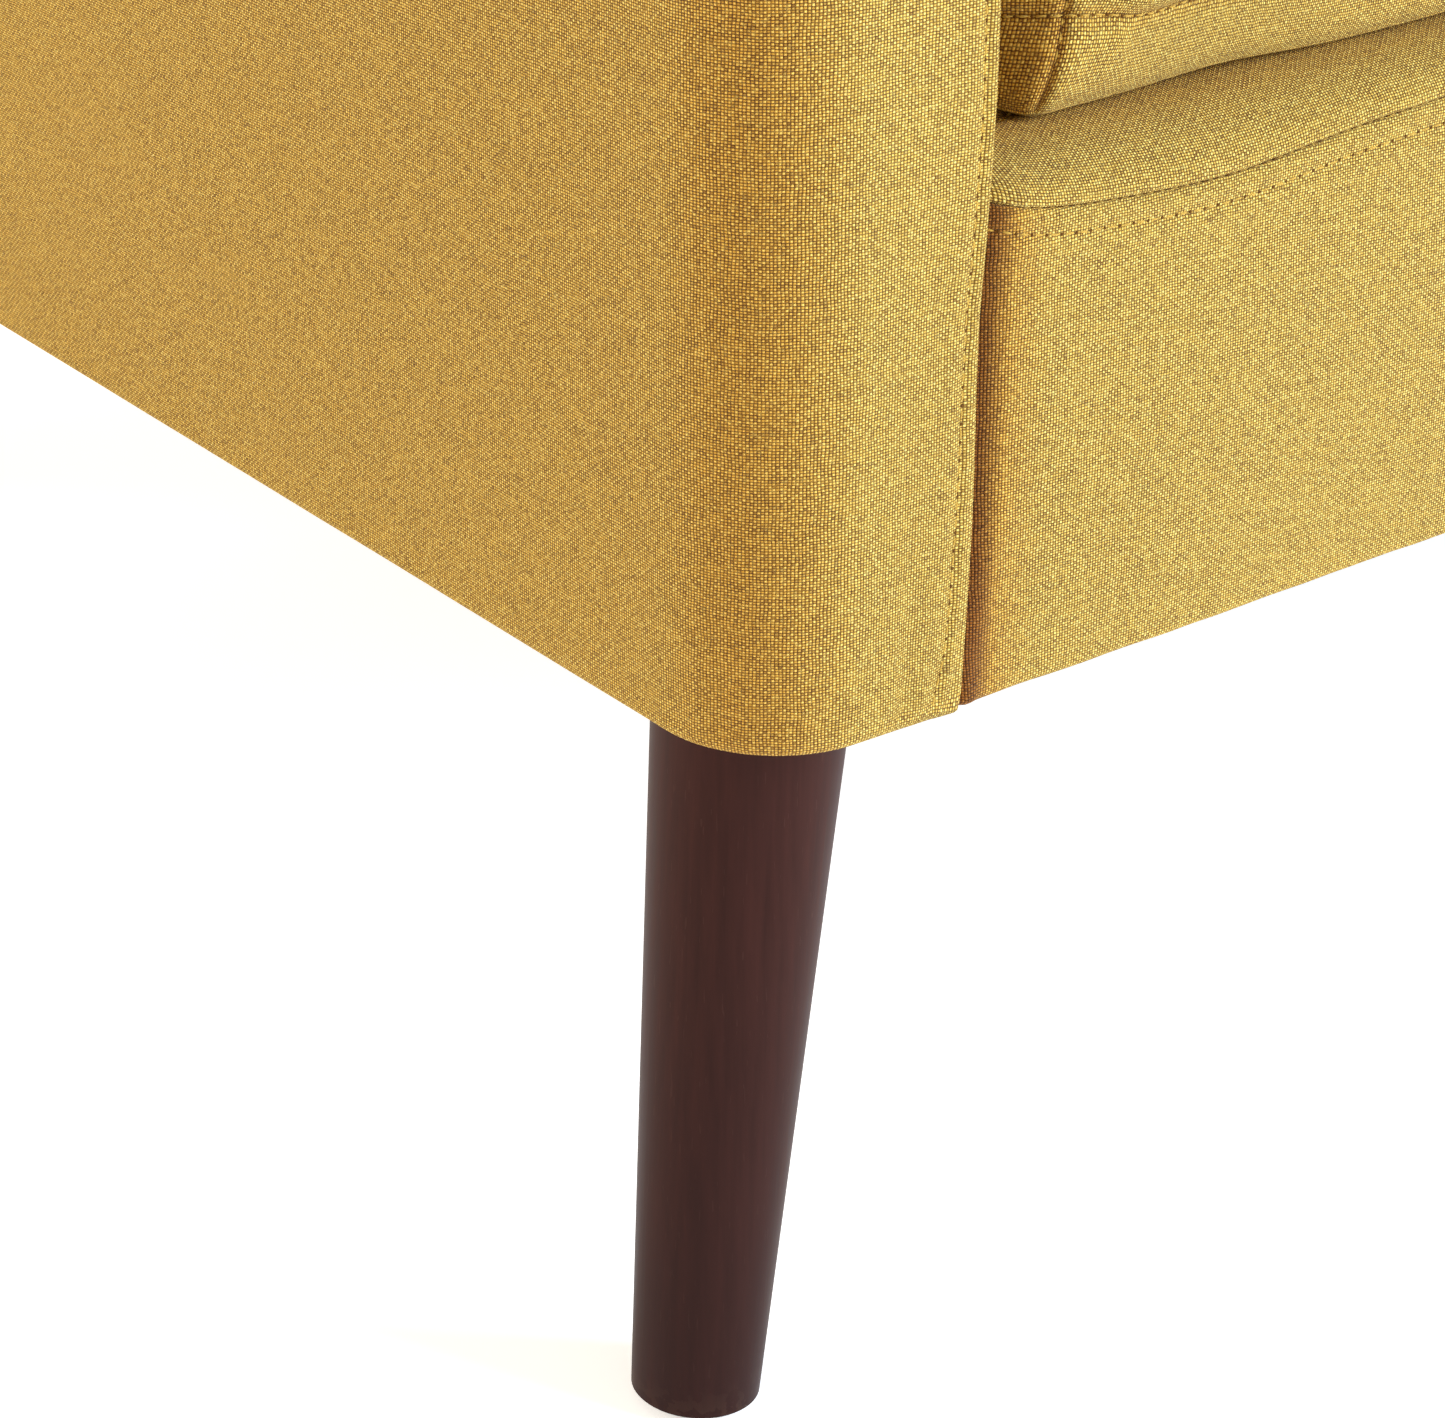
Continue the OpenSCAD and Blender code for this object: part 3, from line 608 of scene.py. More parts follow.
def build_arm(name):
    base, tag = arm_outline()
    tag = np.array(tag)
    nc = len(base)
    zt = zam
    # rows: hem under, roll, wall, top roll, top
    rows = []                                   # (z, inset, kind)
    rows += [("mid", z0m + 1.9, 1.0), ("in", z0m + 1.9, 13.0), ("in", z0m + 0.7, 11.5), ("in", z0m + 0.3, 8.0), ("in", z0m + 0.1, 4.5)]
    for a in np.linspace(-90, 0, 6):
        rows.append(("foot", a, 0.0))
    for z in spaced([(z0m + 5.0, 2.0), (z0m + 165, 3.5), (zt - 15)]):
        rows.append(("in", z, 0.0))
    for a in np.linspace(0, 90, 10)[1:]:
        rows.append(("top", a, 0.0))
    for t in (0.15, 0.35, 0.55, 0.75, 0.92, 1.0):
        rows.append(("cap", t, 0.0))
    med = np.stack([np.full(nc, 31.0), np.clip(base[:, 1], 31.0, D_mm - 31.0)], 1)
    d_in = med - base
    L = np.linalg.norm(d_in, axis=1)
    d_in = d_in / L[:, None]
    # the inner side meets the top at a sewn edge, the other sides roll over
    r_top = np.where((tag == "inner") | (tag == "fold"), 3.0, 14.0)
    fr = (tag == "front") & (base[:, 0] > 46)
    r_top = np.where(fr, np.interp(base[:, 0], [46, 60], [14.0, 3.0]), r_top)
    r_bot = np.where(tag == "front", np.interp(base[:, 0], [30, 52, 58], [2.6, 1.9, 0.9]), np.where(tag == "fold", 0.9, 2.6))
    P = np.zeros((len(rows), nc, 3))
    for i, (kind, a, b) in enumerate(rows):
        if kind == "foot":
            ar = math.radians(a)
            xy = base + d_in * (r_bot * (1 - math.cos(ar)))[:, None]
            z = z0m + 0.05 + r_bot + r_bot * math.sin(ar)
        elif kind == "mid":
            xy, z = med + (base - med) * 0.02, np.full(nc, a)
        elif kind == "in":
            xy, z = base + d_in * np.minimum(b, L * 0.93)[:, None], np.full(nc, a)
        elif kind == "top":
            ar = math.radians(a)
            xy = base + d_in * (r_top * (1 - math.cos(ar)))[:, None]
            z = zt - r_top + r_top * math.sin(ar)
        else:
            start = base + d_in * r_top[:, None]
            xy = start + (med - start) * a * 0.995
            z = np.full(nc, zt) + 1.2 * math.sin(a * math.pi / 2)
        P[i, :, :2], P[i, :, 2] = xy, z
    # rows under the top roll, for the sides with a small roll
    w = np.where(tag == "fold", 1.0, 0.0) + np.where(tag == "front", smooth(30, 58, base[:, 0]), 0.0)
    w = w + np.where(tag == "inner", 1 - smooth(10, 30, base[:, 1]), 0.0)
    P[:, :, 0] += edge_shift(P[:, :, 2]) * w[None, :]
    # cloth coordinates
    ds = np.linalg.norm(np.roll(base, -1, 0) - base, axis=1)
    s = np.concatenate([[0], np.cumsum(ds)])
    UV = np.zeros((len(rows), nc + 1, 2))
    UV[:, :, 0] = s[None, :]
    zz = np.array([r[1] if r[0] in ("in", "mid") else 0 for r in rows])
    arc = 0.0
    for i, (kind, a, b) in enumerate(rows):
        if kind in ("in", "mid"):
            UV[i, :, 1] = a - (14 - b if False else 0)
        elif kind == "foot":
            UV[i, :, 1] = z0m + 2.6 + 2.6 * math.radians(a)
        elif kind == "top":
            UV[i, :, 1] = zt - 14 + 14 * math.radians(a)
        else:
            UV[i, :, 1] = zt - 14 + 22 + np.concatenate([L, L[:1]]) * a
    # shape of the cloth over the padding
    N = grid_normals(P, wrap=True)
    outward = np.concatenate([-d_in, np.zeros((nc, 1))], 1)
    sign = np.sign((N * outward[None]).sum(2)[len(rows) // 2].mean())
    N = N * sign
    x, y, z = P[:, :, 0], P[:, :, 1], P[:, :, 2]
    zr = np.clip((z - z0m) / (zt - z0m), 0, 1)
    S = np.broadcast_to(s[None, :-1], z.shape)
    side = np.broadcast_to((tag == "side")[None], z.shape)
    inner = np.broadcast_to((tag == "inner")[None], z.shape)
    front = np.broadcast_to((tag == "front")[None], z.shape)
    ye = smooth(20, 140, y) * smooth(20, 140, D_mm - y)
    disp = np.zeros_like(z)
    disp += 1.6 * side * np.sin(np.pi * zr) * ye
    disp += 0.9 * inner * np.sin(np.pi * np.clip((z - z0m - 118) / 270, 0, 1)) * ye * 0.0
    vert = smooth(z0m + 2, z0m + 12, z) * smooth(z0m + 2, z0m + 12, z)
    disp += 0.55 * fbm(S / 95.0, z / 120.0, seed=3) * np.where(inner, 0.35, 1.0) * smooth(0, 25, zt - z + 3)
    disp += 0.16 * fbm(S / 22.0, z / 55.0, seed=8)
    low = np.exp(-np.maximum(z - z0m, 0) / 24.0)
    pulls = fbm(S / 17.0, z / 130.0, seed=5, octaves=2)
    disp += 0.45 * low * pulls * smooth(z0m - 1, z0m + 4, z)
    # small pleats where the cloth is drawn round the lower corner
    cw = (0.75 * np.exp(-((S - 19) / 9.0) ** 2) + 0.45 * np.exp(-((S - 58) / 22.0) ** 2)) * front
    disp += cw * np.exp(-np.maximum(z - z0m, 0) / 26.0) * np.sin(S / 1.75 + 1.6 * vnoise(z / 30.0, 0, seed=4)) * smooth(z0m - 1, z0m + 4, z)
    # topstitch: a shallow channel beside the folded edge, puffed on both sides
    e = aw + edge_shift(z)
    d_st = (e - x) - stitch_off(z)
    ch = np.exp(-(d_st / 0.85) ** 2)
    puff = np.exp(-((d_st + 2.1) / 1.3) ** 2) * 0.35 + np.exp(-((d_st - 3.0) / 2.6) ** 2) * 0.28
    tie = 0.75 + 0.25 * np.cos(2 * np.pi * z / 4.0)
    disp += front * (-0.55 * ch * tie + puff)
    disp += front * 0.10 * np.exp(-((d_st + 2) / 2.5) ** 2) * np.cos(2 * np.pi * z / 4.0)
    ok = np.array([r[0] != "mid" for r in rows])[:, None]
    disp = disp * smooth(z0m - 0.6, z0m + 5.5, z)
    P = P + N * (disp * ok)[:, :, None]
    P[:, :, 0] = P[:, :, 0] * MM + X0
    P[:, :, 1] = P[:, :, 1] * MM + Y0
    P[:, :, 2] *= MM
    o = grid_object(name, P, UV * MM, wrap=True, flip=sign < 0)
    close_ends(o)
    o.data.materials.append(m_fabric)
    # the stitch row lies in its channel: front, then back along the top's inner edge
    zs = np.arange(z0m + 3.0, zt - 16, 1.0)
    px = aw + edge_shift(zs) - stitch_off(zs)
    rowsz = P[:, :, 2] * mm
    pts, nrm = [], []
    cols = np.where(tag == "front")[0]
    colx = (P[:, cols, 0] - X0) * mm
    coly = (P[:, cols, 1] - Y0) * mm
    wall = [i for i, r in enumerate(rows) if r[0] == "in" and r[2] == 0.0]
    for zv, xv in zip(zs, px):
        zi = rowsz[wall, cols[3]]
        r = int(np.clip(np.searchsorted(zi, zv), 1, len(wall) - 1))
        t = (zv - zi[r - 1]) / max(zi[r] - zi[r - 1], 1e-6)
        yy = (1 - t) * coly[wall[r - 1]] + t * coly[wall[r]]
        xx = (1 - t) * colx[wall[r - 1]] + t * colx[wall[r]]
        order = np.argsort(xx)
        yv = np.interp(xv, xx[order], yy[order])
        pts.append((X0 + xv * MM, Y0 + yv * MM, zv * MM))
        nrm.append((0, -1, 0))
    run1 = (pts, nrm)
    ys = np.arange(14.0, D_mm - 16, 4.0)
    top = [(X0 + (aw - 6.2) * MM, Y0 + y_ * MM, (zt + 0.55) * MM) for y_ in ys]
    run2 = (top, [(0, 0, 1)] * len(top))
    return o, [run1, run2]


left_arm, arm_runs = build_arm("left_arm_upholstery")
# painted shade: a darker, browner colour on the rounded front corner, which faces away from both the key and the left
# lamp, and, less, on the outer side, fitted to the colour seen there
ac_ = coords(left_arm) * mm - np.array([X0, Y0, 0.0]) * mm
ax_, ay_ = np.maximum(30.0 - ac_[:, 0], 0), np.maximum(30.0 - ac_[:, 1], 0)
an_ = np.arctan2(ay_, ax_ + 1e-9)                        # 0 on the outer side, a right angle on the front
outer_ = smooth(26.0, 12.0, ac_[:, 0])
arm_painted_shade = np.where((ax_ > 0) & (ay_ > 0), 0.36 * np.sin(2 * an_) ** 1.3 + 0.10 * np.cos(an_) ** 2, 0.10 * outer_)
set_shade(left_arm, arm_painted_shade)
right_arm = mirrored(left_arm, "right_arm_upholstery")
for o, s in ((left_arm, "left"), (right_arm, "right")):
    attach(o, "sofa")
    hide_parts(s + "_arm_cover", s + "_arm_foam")
left_arm_st = stitch_mesh("left_arm_topstitch", arm_runs)
right_arm_st = mirrored(left_arm_st, "right_arm_topstitch")
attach(right_arm_st, "sofa")

# ------------------------------------------------------------------ front border and deck
W_mm = W * mm
deck_m = DECK_Z * mm


def mirror_x(x):
    return np.minimum(x, W_mm - x)


_sx = np.array([50, 61.5, 69, 76.8, 86, 96.8, 115, 133, 150, 167, 193, 230, 300, 420, 560, 700])
_sz = np.array([113.6, 112.6, 110.2, 108.4, 107.3, 106.4, 105.2, 105.0, 106.6, 108.2, 109.6, 110.6, 111.6, 112.4, 113.0, 113.2])


def seam_z(x):
    """height of the seam between the border and the deck's front band, over the body's lower edge"""
    m = mirror_x(np.asarray(x, float))
    out = 0
    for d, w in ((-8, 0.15), (-4, 0.2), (0, 0.3), (4, 0.2), (8, 0.15)):
        out = out + w * np.interp(m + d, _sx, _sz)
    return out + z0m


def border_y(x):
    """how far the border stands behind the arm's front"""
    m = mirror_x(np.asarray(x, float))
    return 0.4 + recess_at(m, 110.0) - 1.2 * smooth(90, 420, m)


def recess_at(m, h):
    """the padded border is rounded in where it meets the arm's edge: less at the lower edge"""
    R = 5.5 + 7.5 * smooth(0, 55, h)
    e = m - (aw + edge_shift(z0m + h) - 1.6)
    t = np.clip((R - e) / R, 0, 0.985)
    return R * (1 - np.sqrt(1 - t * t)) + 1.2 * np.exp(-np.maximum(m - 60, -4) / 16.0) * smooth(0, 60, h)


def border_cols():
    half = spaced([(51, 1.6), (90, 2.6), (320, 5.0), (W_mm / 2)])
    return np.concatenate([half, (W_mm - half[:-1])[::-1]])


def build_border():
    xs = border_cols()
    zs_seam = seam_z(xs)
    yb = border_y(xs)
    prof = []                                    # (kind, a): rows from the hem up
    rows = [("hem", 22.0, 1.9), ("hem", 20.0, 0.9), ("hem", 12.0, 0.4), ("hem", 6.0, 0.1)]
    rr = 2.4
    for a in np.linspace(-90, 0, 6):
        rows.append(("roll", a, rr))
    for t in spaced([(0.05, 0.035), (0.86, 0.012), (1.0)]):
        rows.append(("wall", t, 0.0))
    rows += [("lip", 0.30, 0.10), ("lip", 0.75, 0.0), ("lip", 1.6, -0.4), ("lip", 4.0, -1.2), ("lip", 9.0, -3.0)]
    nr, nc = len(rows), len(xs)
    P = np.zeros((nr, nc, 3))
    UV = np.zeros((nr, nc, 2))
    P[:, :, 0] = xs[None]
    UV[:, :, 0] = xs[None] + 2.3
    for i, (kind, a, b) in enumerate(rows):
        if kind == "hem":
            P[i, :, 1], P[i, :, 2] = yb + a, z0m + b
            UV[i, :, 1] = -a
        elif kind == "roll":
            P[i, :, 1] = yb + b * (1 - math.cos(math.radians(a)))
            P[i, :, 2] = z0m + b + b * math.sin(math.radians(a))
            UV[i, :, 1] = b * math.radians(a)
        elif kind == "wall":
            top = zs_seam
            P[i, :, 1] = yb
            P[i, :, 2] = (z0m + rr) + (top - z0m - rr) * a
            UV[i, :, 1] = P[i, :, 2] - z0m - rr
        else:
            P[i, :, 1] = yb + a
            P[i, :, 2] = zs_seam + b
            UV[i, :, 1] = zs_seam - z0m - rr + a
    x, z = P[:, :, 0], P[:, :, 2]
    m = mirror_x(x)
    h = np.clip((z - z0m) / (zs_seam[None] - z0m), 0, 1)
    disp = 2.2 * np.sin(np.pi * np.clip(h, 0, 1)) ** 0.8 * smooth(52, 130, m)          # outward is -y
    disp += 0.45 * fbm(x / 80.0, z / 70.0, seed=21)
    disp += 0.13 * fbm(x / 20.0, z / 22.0, seed=23)
    low = np.exp(-np.maximum(z - z0m, 0) / 16.0)
    disp += 0.40 * low * fbm(x / 15.0, z / 90.0, seed=25, octaves=2)
    disp += 0.9 * np.exp(-((m - 59.5) / 1.9) ** 2) * np.exp(-((z - z0m - 1.5) / 2.2) ** 2)
    under = zs_seam[None] - z                                  # distance below the seam
    d = under - 5.6
    ch = np.exp(-(d / 0.8) ** 2)
    tie = 0.75 + 0.25 * np.cos(2 * np.pi * x / 4.0)
    wall = np.array([r[0] == "wall" for r in rows])[:, None]
    disp += wall * (-0.55 * ch * tie + 0.42 * np.exp(-((d + 2.8) / 1.6) ** 2) + 0.30 * np.exp(-((d - 2.8) / 2.4) ** 2))
    # the top band is drawn in along the seam, in small uneven puckers
    disp += wall * 0.20 * np.exp(-(under / 9.0) ** 2) * fbm(x / 7.0, 0, seed=28, octaves=2)
    lim = np.array([r[0] in ("wall", "roll") for r in rows])[:, None]
    P[:, :, 1] -= disp * lim
    P[:, :, 1] -= recess_at(m, 110.0) - recess_at(m, z - z0m)
    st_pts, st_n = [], []
    wi = [i for i, r in enumerate(rows) if r[0] == "wall"]
    for j in range(nc):
        if mirror_x(xs[j]) < 58:
            continue
        zt = zs_seam[j] - 5.6
        yv = np.interp(zt, P[wi, j, 2], P[wi, j, 1])
        st_pts.append((xs[j], yv, zt))
        st_n.append((0, -1, 0.0))
    seam_pts = [(xs[j], P[wi[-1], j, 1] + 0.5, zs_seam[j] + 0.05) for j in range(nc) if mirror_x(xs[j]) >= 58]
    # the weave keeps its scale round the edge
    run = np.concatenate([np.zeros((nr, 1)), np.cumsum(np.hypot(np.diff(P[:, :, 0], axis=1), np.diff(P[:, :, 1], axis=1)), 1)], 1)
    UV[:, :, 0] = run - run[:, nc // 2][:, None] + xs[nc // 2] + 2.3
    P[:, :, 0] = P[:, :, 0] * MM + X0
    P[:, :, 1] = P[:, :, 1] * MM + Y0
    P[:, :, 2] *= MM
    o = grid_object("front_border", P, UV * MM, flip=False)
    conv = lambda q: [(X0 + a * MM, Y0 + b * MM, c * MM) for a, b, c in q]
    return o, (conv(st_pts), st_n), (conv(seam_pts), [(0, -0.9, 0.45)] * len(seam_pts))


def solid(o, t):
    """gives a cloth its thickness, inwards, and applies it"""
    m = o.modifiers.new("Solidify", "SOLIDIFY")
    m.thickness = t
    m.offset = -1.0
    apply_modifiers(o)


def apply_modifiers(o):
    bpy.context.view_layer.update()
    dg = bpy.context.evaluated_depsgraph_get()
    me = bpy.data.meshes.new_from_object(o.evaluated_get(dg), preserve_all_data_layers=True, depsgraph=dg)
    old = o.data
    o.modifiers.clear()
    o.data = me
    me.name = o.name
    bpy.data.meshes.remove(old)


def faces_out(o, towards):
    """turns the mesh so that its average normal points along towards"""
    n = np.zeros(len(o.data.polygons) * 3, np.float32)
    o.data.polygons.foreach_get("normal", n)
    if (n.reshape(-1, 3).mean(0) * np.array(towards)).sum() < 0:
        o.data.flip_normals()
        o.data.update()


border, border_run, seam_run = build_border()
faces_out(border, (0, -1, 0))
solid(border, 1.0 * MM)
border.data.materials.append(m_fabric)
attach(border, "sofa")
bc_ = coords(border) * mm
bm_ = mirror_x(bc_[:, 0] - X0 * mm)
be_ = bm_ - (aw + edge_shift(bc_[:, 2]))
# painted shade: the border is coloured darker and browner in the strip where it curves in beside the arm's edge, fading
# out by about 22 mm
set_shade(border, np.maximum(1 - smooth(3.4, 13.0, be_), 0.34 * (1 - smooth(7, 22, be_))))
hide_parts("front_border_cover", "front_border_foam")
stitch_mesh("border_topstitch", [border_run])


def build_deck():
    xs = border_cols()
    zsm = seam_z(xs)
    yb = border_y(xs)
    y_end = dk_hi.y * mm - Y0 * mm
    rows = [("lip", 8.0, -2.4), ("lip", 3.4, -0.6), ("lip", 1.5, -0.05), ("lip", 0.6, 0.12)]
    for t in np.linspace(0.03, 1.0, 22):
        rows.append(("roll", t, 0))
    flat = spaced([(30.5, 2.0), (44, 5), (120, 14), (y_end)])
    for y in flat:
        rows.append(("flat", y, 0))
    rows.append(("end", 0, 0))
    nr, nc = len(rows), len(xs)
    P = np.zeros((nr, nc, 3))
    P[:, :, 0] = xs[None]
    ztop = deck_m + 0.9
    m1 = mirror_x(xs)
    for i, (kind, a, b) in enumerate(rows):
        if kind == "lip":
            P[i, :, 1], P[i, :, 2] = yb + a, zsm + b
        elif kind == "roll":
            ang = a * math.pi / 2
            P[i, :, 1] = yb + 0.05 + (27.5 - yb) * (1 - math.cos(ang))
            P[i, :, 2] = zsm + 0.25 + (ztop - zsm - 0.25) * math.sin(ang)
        elif kind == "flat":
            P[i, :, 1], P[i, :, 2] = a, ztop - 0.9 * smooth(26, 45, a)
        else:
            P[i, :, 1], P[i, :, 2] = y_end, ztop - 6
    x, y, z = P[:, :, 0], P[:, :, 1], P[:, :, 2]
    seg = np.linalg.norm(np.diff(P, axis=0), axis=2)
    v = np.concatenate([np.zeros((1, nc)), np.cumsum(seg, 0)])
    UV = np.stack([x + 0.9, v + 3.0], -1)
    N = grid_normals(P)
    N *= np.sign(N[:, :, 2].mean())
    m = mirror_x(x)
    disp = 0.32 * fbm(x / 60.0, y / 40.0, seed=41)
    disp += 0.10 * fbm(x / 14.0, v / 14.0, seed=43)
    disp += 0.16 * np.exp(-v / 10.0) * fbm(x / 6.5, 0, seed=45, octaves=2)
    # the seam across the deck, just behind the roll
    ys_ = 27.0 - 6.5 * np.exp(-((m - 70.0) / 16.0) ** 2)
    disp -= 1.1 * np.exp(-((y - ys_) / 1.2) ** 2) * (z > zsm[None] + 3)
    disp += 0.35 * np.exp(-((y - 31.0) / 2.2) ** 2)
    disp = np.minimum(disp, 0.9)
    lim = np.array([r[0] in ("roll", "flat") for r in rows])[:, None]
    P = P + N * (disp * lim)[:, :, None]
    P[:, :, 2] = np.where((P[:, :, 1] > 34), np.minimum(P[:, :, 2], deck_m + 0.25), P[:, :, 2])
    seam = [(xs[j], ys_[0, j], float(np.interp(ys_[0, j], P[4:-1, j, 1], P[4:-1, j, 2])) + 0.3) for j in range(0, nc) if m1[j] > 61]
    P[:, :, 0] = P[:, :, 0] * MM + X0
    P[:, :, 1] = P[:, :, 1] * MM + Y0
    P[:, :, 2] *= MM
    o = grid_object("deck_upholstery", P, UV * MM)
    return o, ([(X0 + a * MM, Y0 + b * MM, c * MM) for a, b, c in seam], [(0, 0, 1)] * len(seam))


deck, deck_run = build_deck()
faces_out(deck, (0, 0, 1))
solid(deck, 1.0 * MM)
deck.data.materials.append(m_fabric)
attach(deck, "sofa")
dc_ = coords(deck) * mm
dm_ = mirror_x(dc_[:, 0] - X0 * mm)
dy_ = dc_[:, 1] - Y0 * mm
# painted shade: the deck is coloured darker and browner towards the back, under the seat cushions' front edge, and next
# to the arms
set_shade(deck, np.maximum(0.42 * smooth(5, 22, dy_), 0.75 * (1 - smooth(0.5, 16, dm_ - aw)) * smooth(2, 18, dy_)))
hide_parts("deck_cover", "deck_foam")
stitch_mesh("deck_seam_stitch", [deck_run, seam_run], length=2.2 * MM, pitch=3.4 * MM, width=0.45 * MM, height=0.22 * MM)


# ------------------------------------------------------------------ dust cloth under the seat
LEG_CUT_X, LEG_CUT_Y = 77.0, 88.0            # the cloth is cut out round each leg plate, from the sofa's sides


def build_dust():
    lo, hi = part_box("dust_cover")
    x0, x1 = lo.x * mm - X0 * mm, hi.x * mm - X0 * mm
    y0, y1 = lo.y * mm - Y0 * mm, hi.y * mm - Y0 * mm
    z0 = lo.z * mm
    depth = D * mm

    def line(a, cut, far):
        e = spaced([(a, 3.0), (a + 18, 9.0), (cut - 4, 4.0), (cut, 9.0), (cut + 60, 14.0), (0.5 * (a + far))])
        return np.concatenate([e, (a + far - e[:-1])[::-1]])
    xs, ys = line(x0, LEG_CUT_X, x1), line(y0, LEG_CUT_Y, y1)
    X, Y = np.meshgrid(xs, ys)
    ex, ey = np.minimum(X - x0, x1 - X), np.minimum(Y - y0, y1 - Y)
    cx_, cy_ = LEG_CUT_X - x0, LEG_CUT_Y - y0
    # distance to the nearest edge, the cut-outs among them
    notch = np.hypot(np.maximum(ex - cx_, 0), np.maximum(ey - cy_, 0))
    e = np.minimum(np.minimum(ex, ey), notch)
    along = np.where(ex < ey, Y, X)
    sag = 0.9 * np.abs(np.sin(np.pi * along / 58.0)) * np.exp(-np.maximum(e - 6, 0) / 14.0) * smooth(2, 10, e)
    sag = sag + 4.2 * smooth(10, 230, e) * (0.86 + 0.14 * fbm(X / 160.0, Y / 160.0, seed=71))
    sag = sag + 0.8 * smooth(5, 30, e) * fbm(X / 90.0, Y / 26.0, seed=72)
    Z = z0 + 0.75 - np.maximum(sag, 0) - 0.35 * (1 - smooth(13.0, 14.5, e))
    nr, nc = X.shape
    verts = np.stack([X * MM + X0, Y * MM + Y0, Z * MM], -1).reshape(-1, 3)
    faces, used = [], np.zeros(len(verts), bool)
    area_ = 0.0
    for r in range(nr - 1):
        for c_ in range(nc - 1):
            mx, my = 0.5 * (xs[c_] + xs[c_ + 1]), 0.5 * (ys[r] + ys[r + 1])
            if min(mx - x0, x1 - mx) < cx_ and min(my - y0, y1 - my) < cy_:
                continue
            a = r * nc + c_
            faces.append((a, a + nc, a + nc + 1, a + 1))      # facing down
            used[[a, a + 1, a + nc, a + nc + 1]] = True
            area_ += (xs[c_ + 1] - xs[c_]) * (ys[r + 1] - ys[r])
    remap = np.cumsum(used) - 1
    uvs = [(verts[i][0], verts[i][1]) for f in faces for i in f]
    o = new_mesh("underside_dust_cloth", verts[used], [tuple(int(remap[i]) for i in f) for f in faces], np.array(uvs))
    solid(o, 0.5 * MM)
    # staples that hold it up
    tv, tf = [], []

    def staple(px, py, dx, dy):
        zs = z0 + 0.2
        path = [(-5.0, 0.65), (-4.6, -0.15), (-3.9, -0.35), (3.9, -0.35), (4.6, -0.15), (5.0, 0.65)]
        b = len(tv)
        for t, w in path:
            for s1, s2 in ((-0.6, -0.3), (0.6, -0.3), (0.6, 0.3), (-0.6, 0.3)):
                tv.append(((px + dx * t - dy * s1) * MM + X0, (py + dy * t + dx * s1) * MM + Y0, (zs + w + s2) * MM))
        for i in range(len(path) - 1):
            for j in range(4):
                a0, a1 = b + i * 4 + j, b + i * 4 + (j + 1) % 4
                tf.append((a0, a1, a1 + 4, a0 + 4))
        tf.append((b + 3, b + 2, b + 1, b))
        n_ = b + 4 * (len(path) - 1)
        tf.append((n_, n_ + 1, n_ + 2, n_ + 3))
    inset = 8.0
    for k_ in range(int((x1 - x0 - 2 * cx_ - 20) / 58) + 1):
        px = x0 + cx_ + 14 + 58 * k_
        tilt = 0.10 * math.sin(7.3 * k_)
        staple(px, y0 + inset, math.cos(tilt), math.sin(tilt))
        staple(px, y1 - inset, math.cos(tilt), -math.sin(tilt))
    for k_ in range(int((y1 - y0 - 2 * cy_ - 20) / 58) + 1):
        py = y0 + cy_ + 14 + 58 * k_
        tilt = 0.10 * math.sin(5.1 * k_ + 1)
        staple(x0 + inset, py, math.sin(tilt), math.cos(tilt))
        staple(x1 - inset, py, -math.sin(tilt), math.cos(tilt))
    st = new_mesh("underside_staples", np.array(tv), tf, None, False)
    return o, st, ((x1 - x0) * MM, (y1 - y0) * MM), area_ * MM * MM


dust, staples, dust_flat, dust_area = build_dust()
dust.data.materials.append(m_dust)
staples.data.materials.append(m_zinc)
for o_, slot_ in ((dust, "dust_cloth"), (staples, "spring_steel")):
    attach(o_, "sofa")
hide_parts("dust_cover")


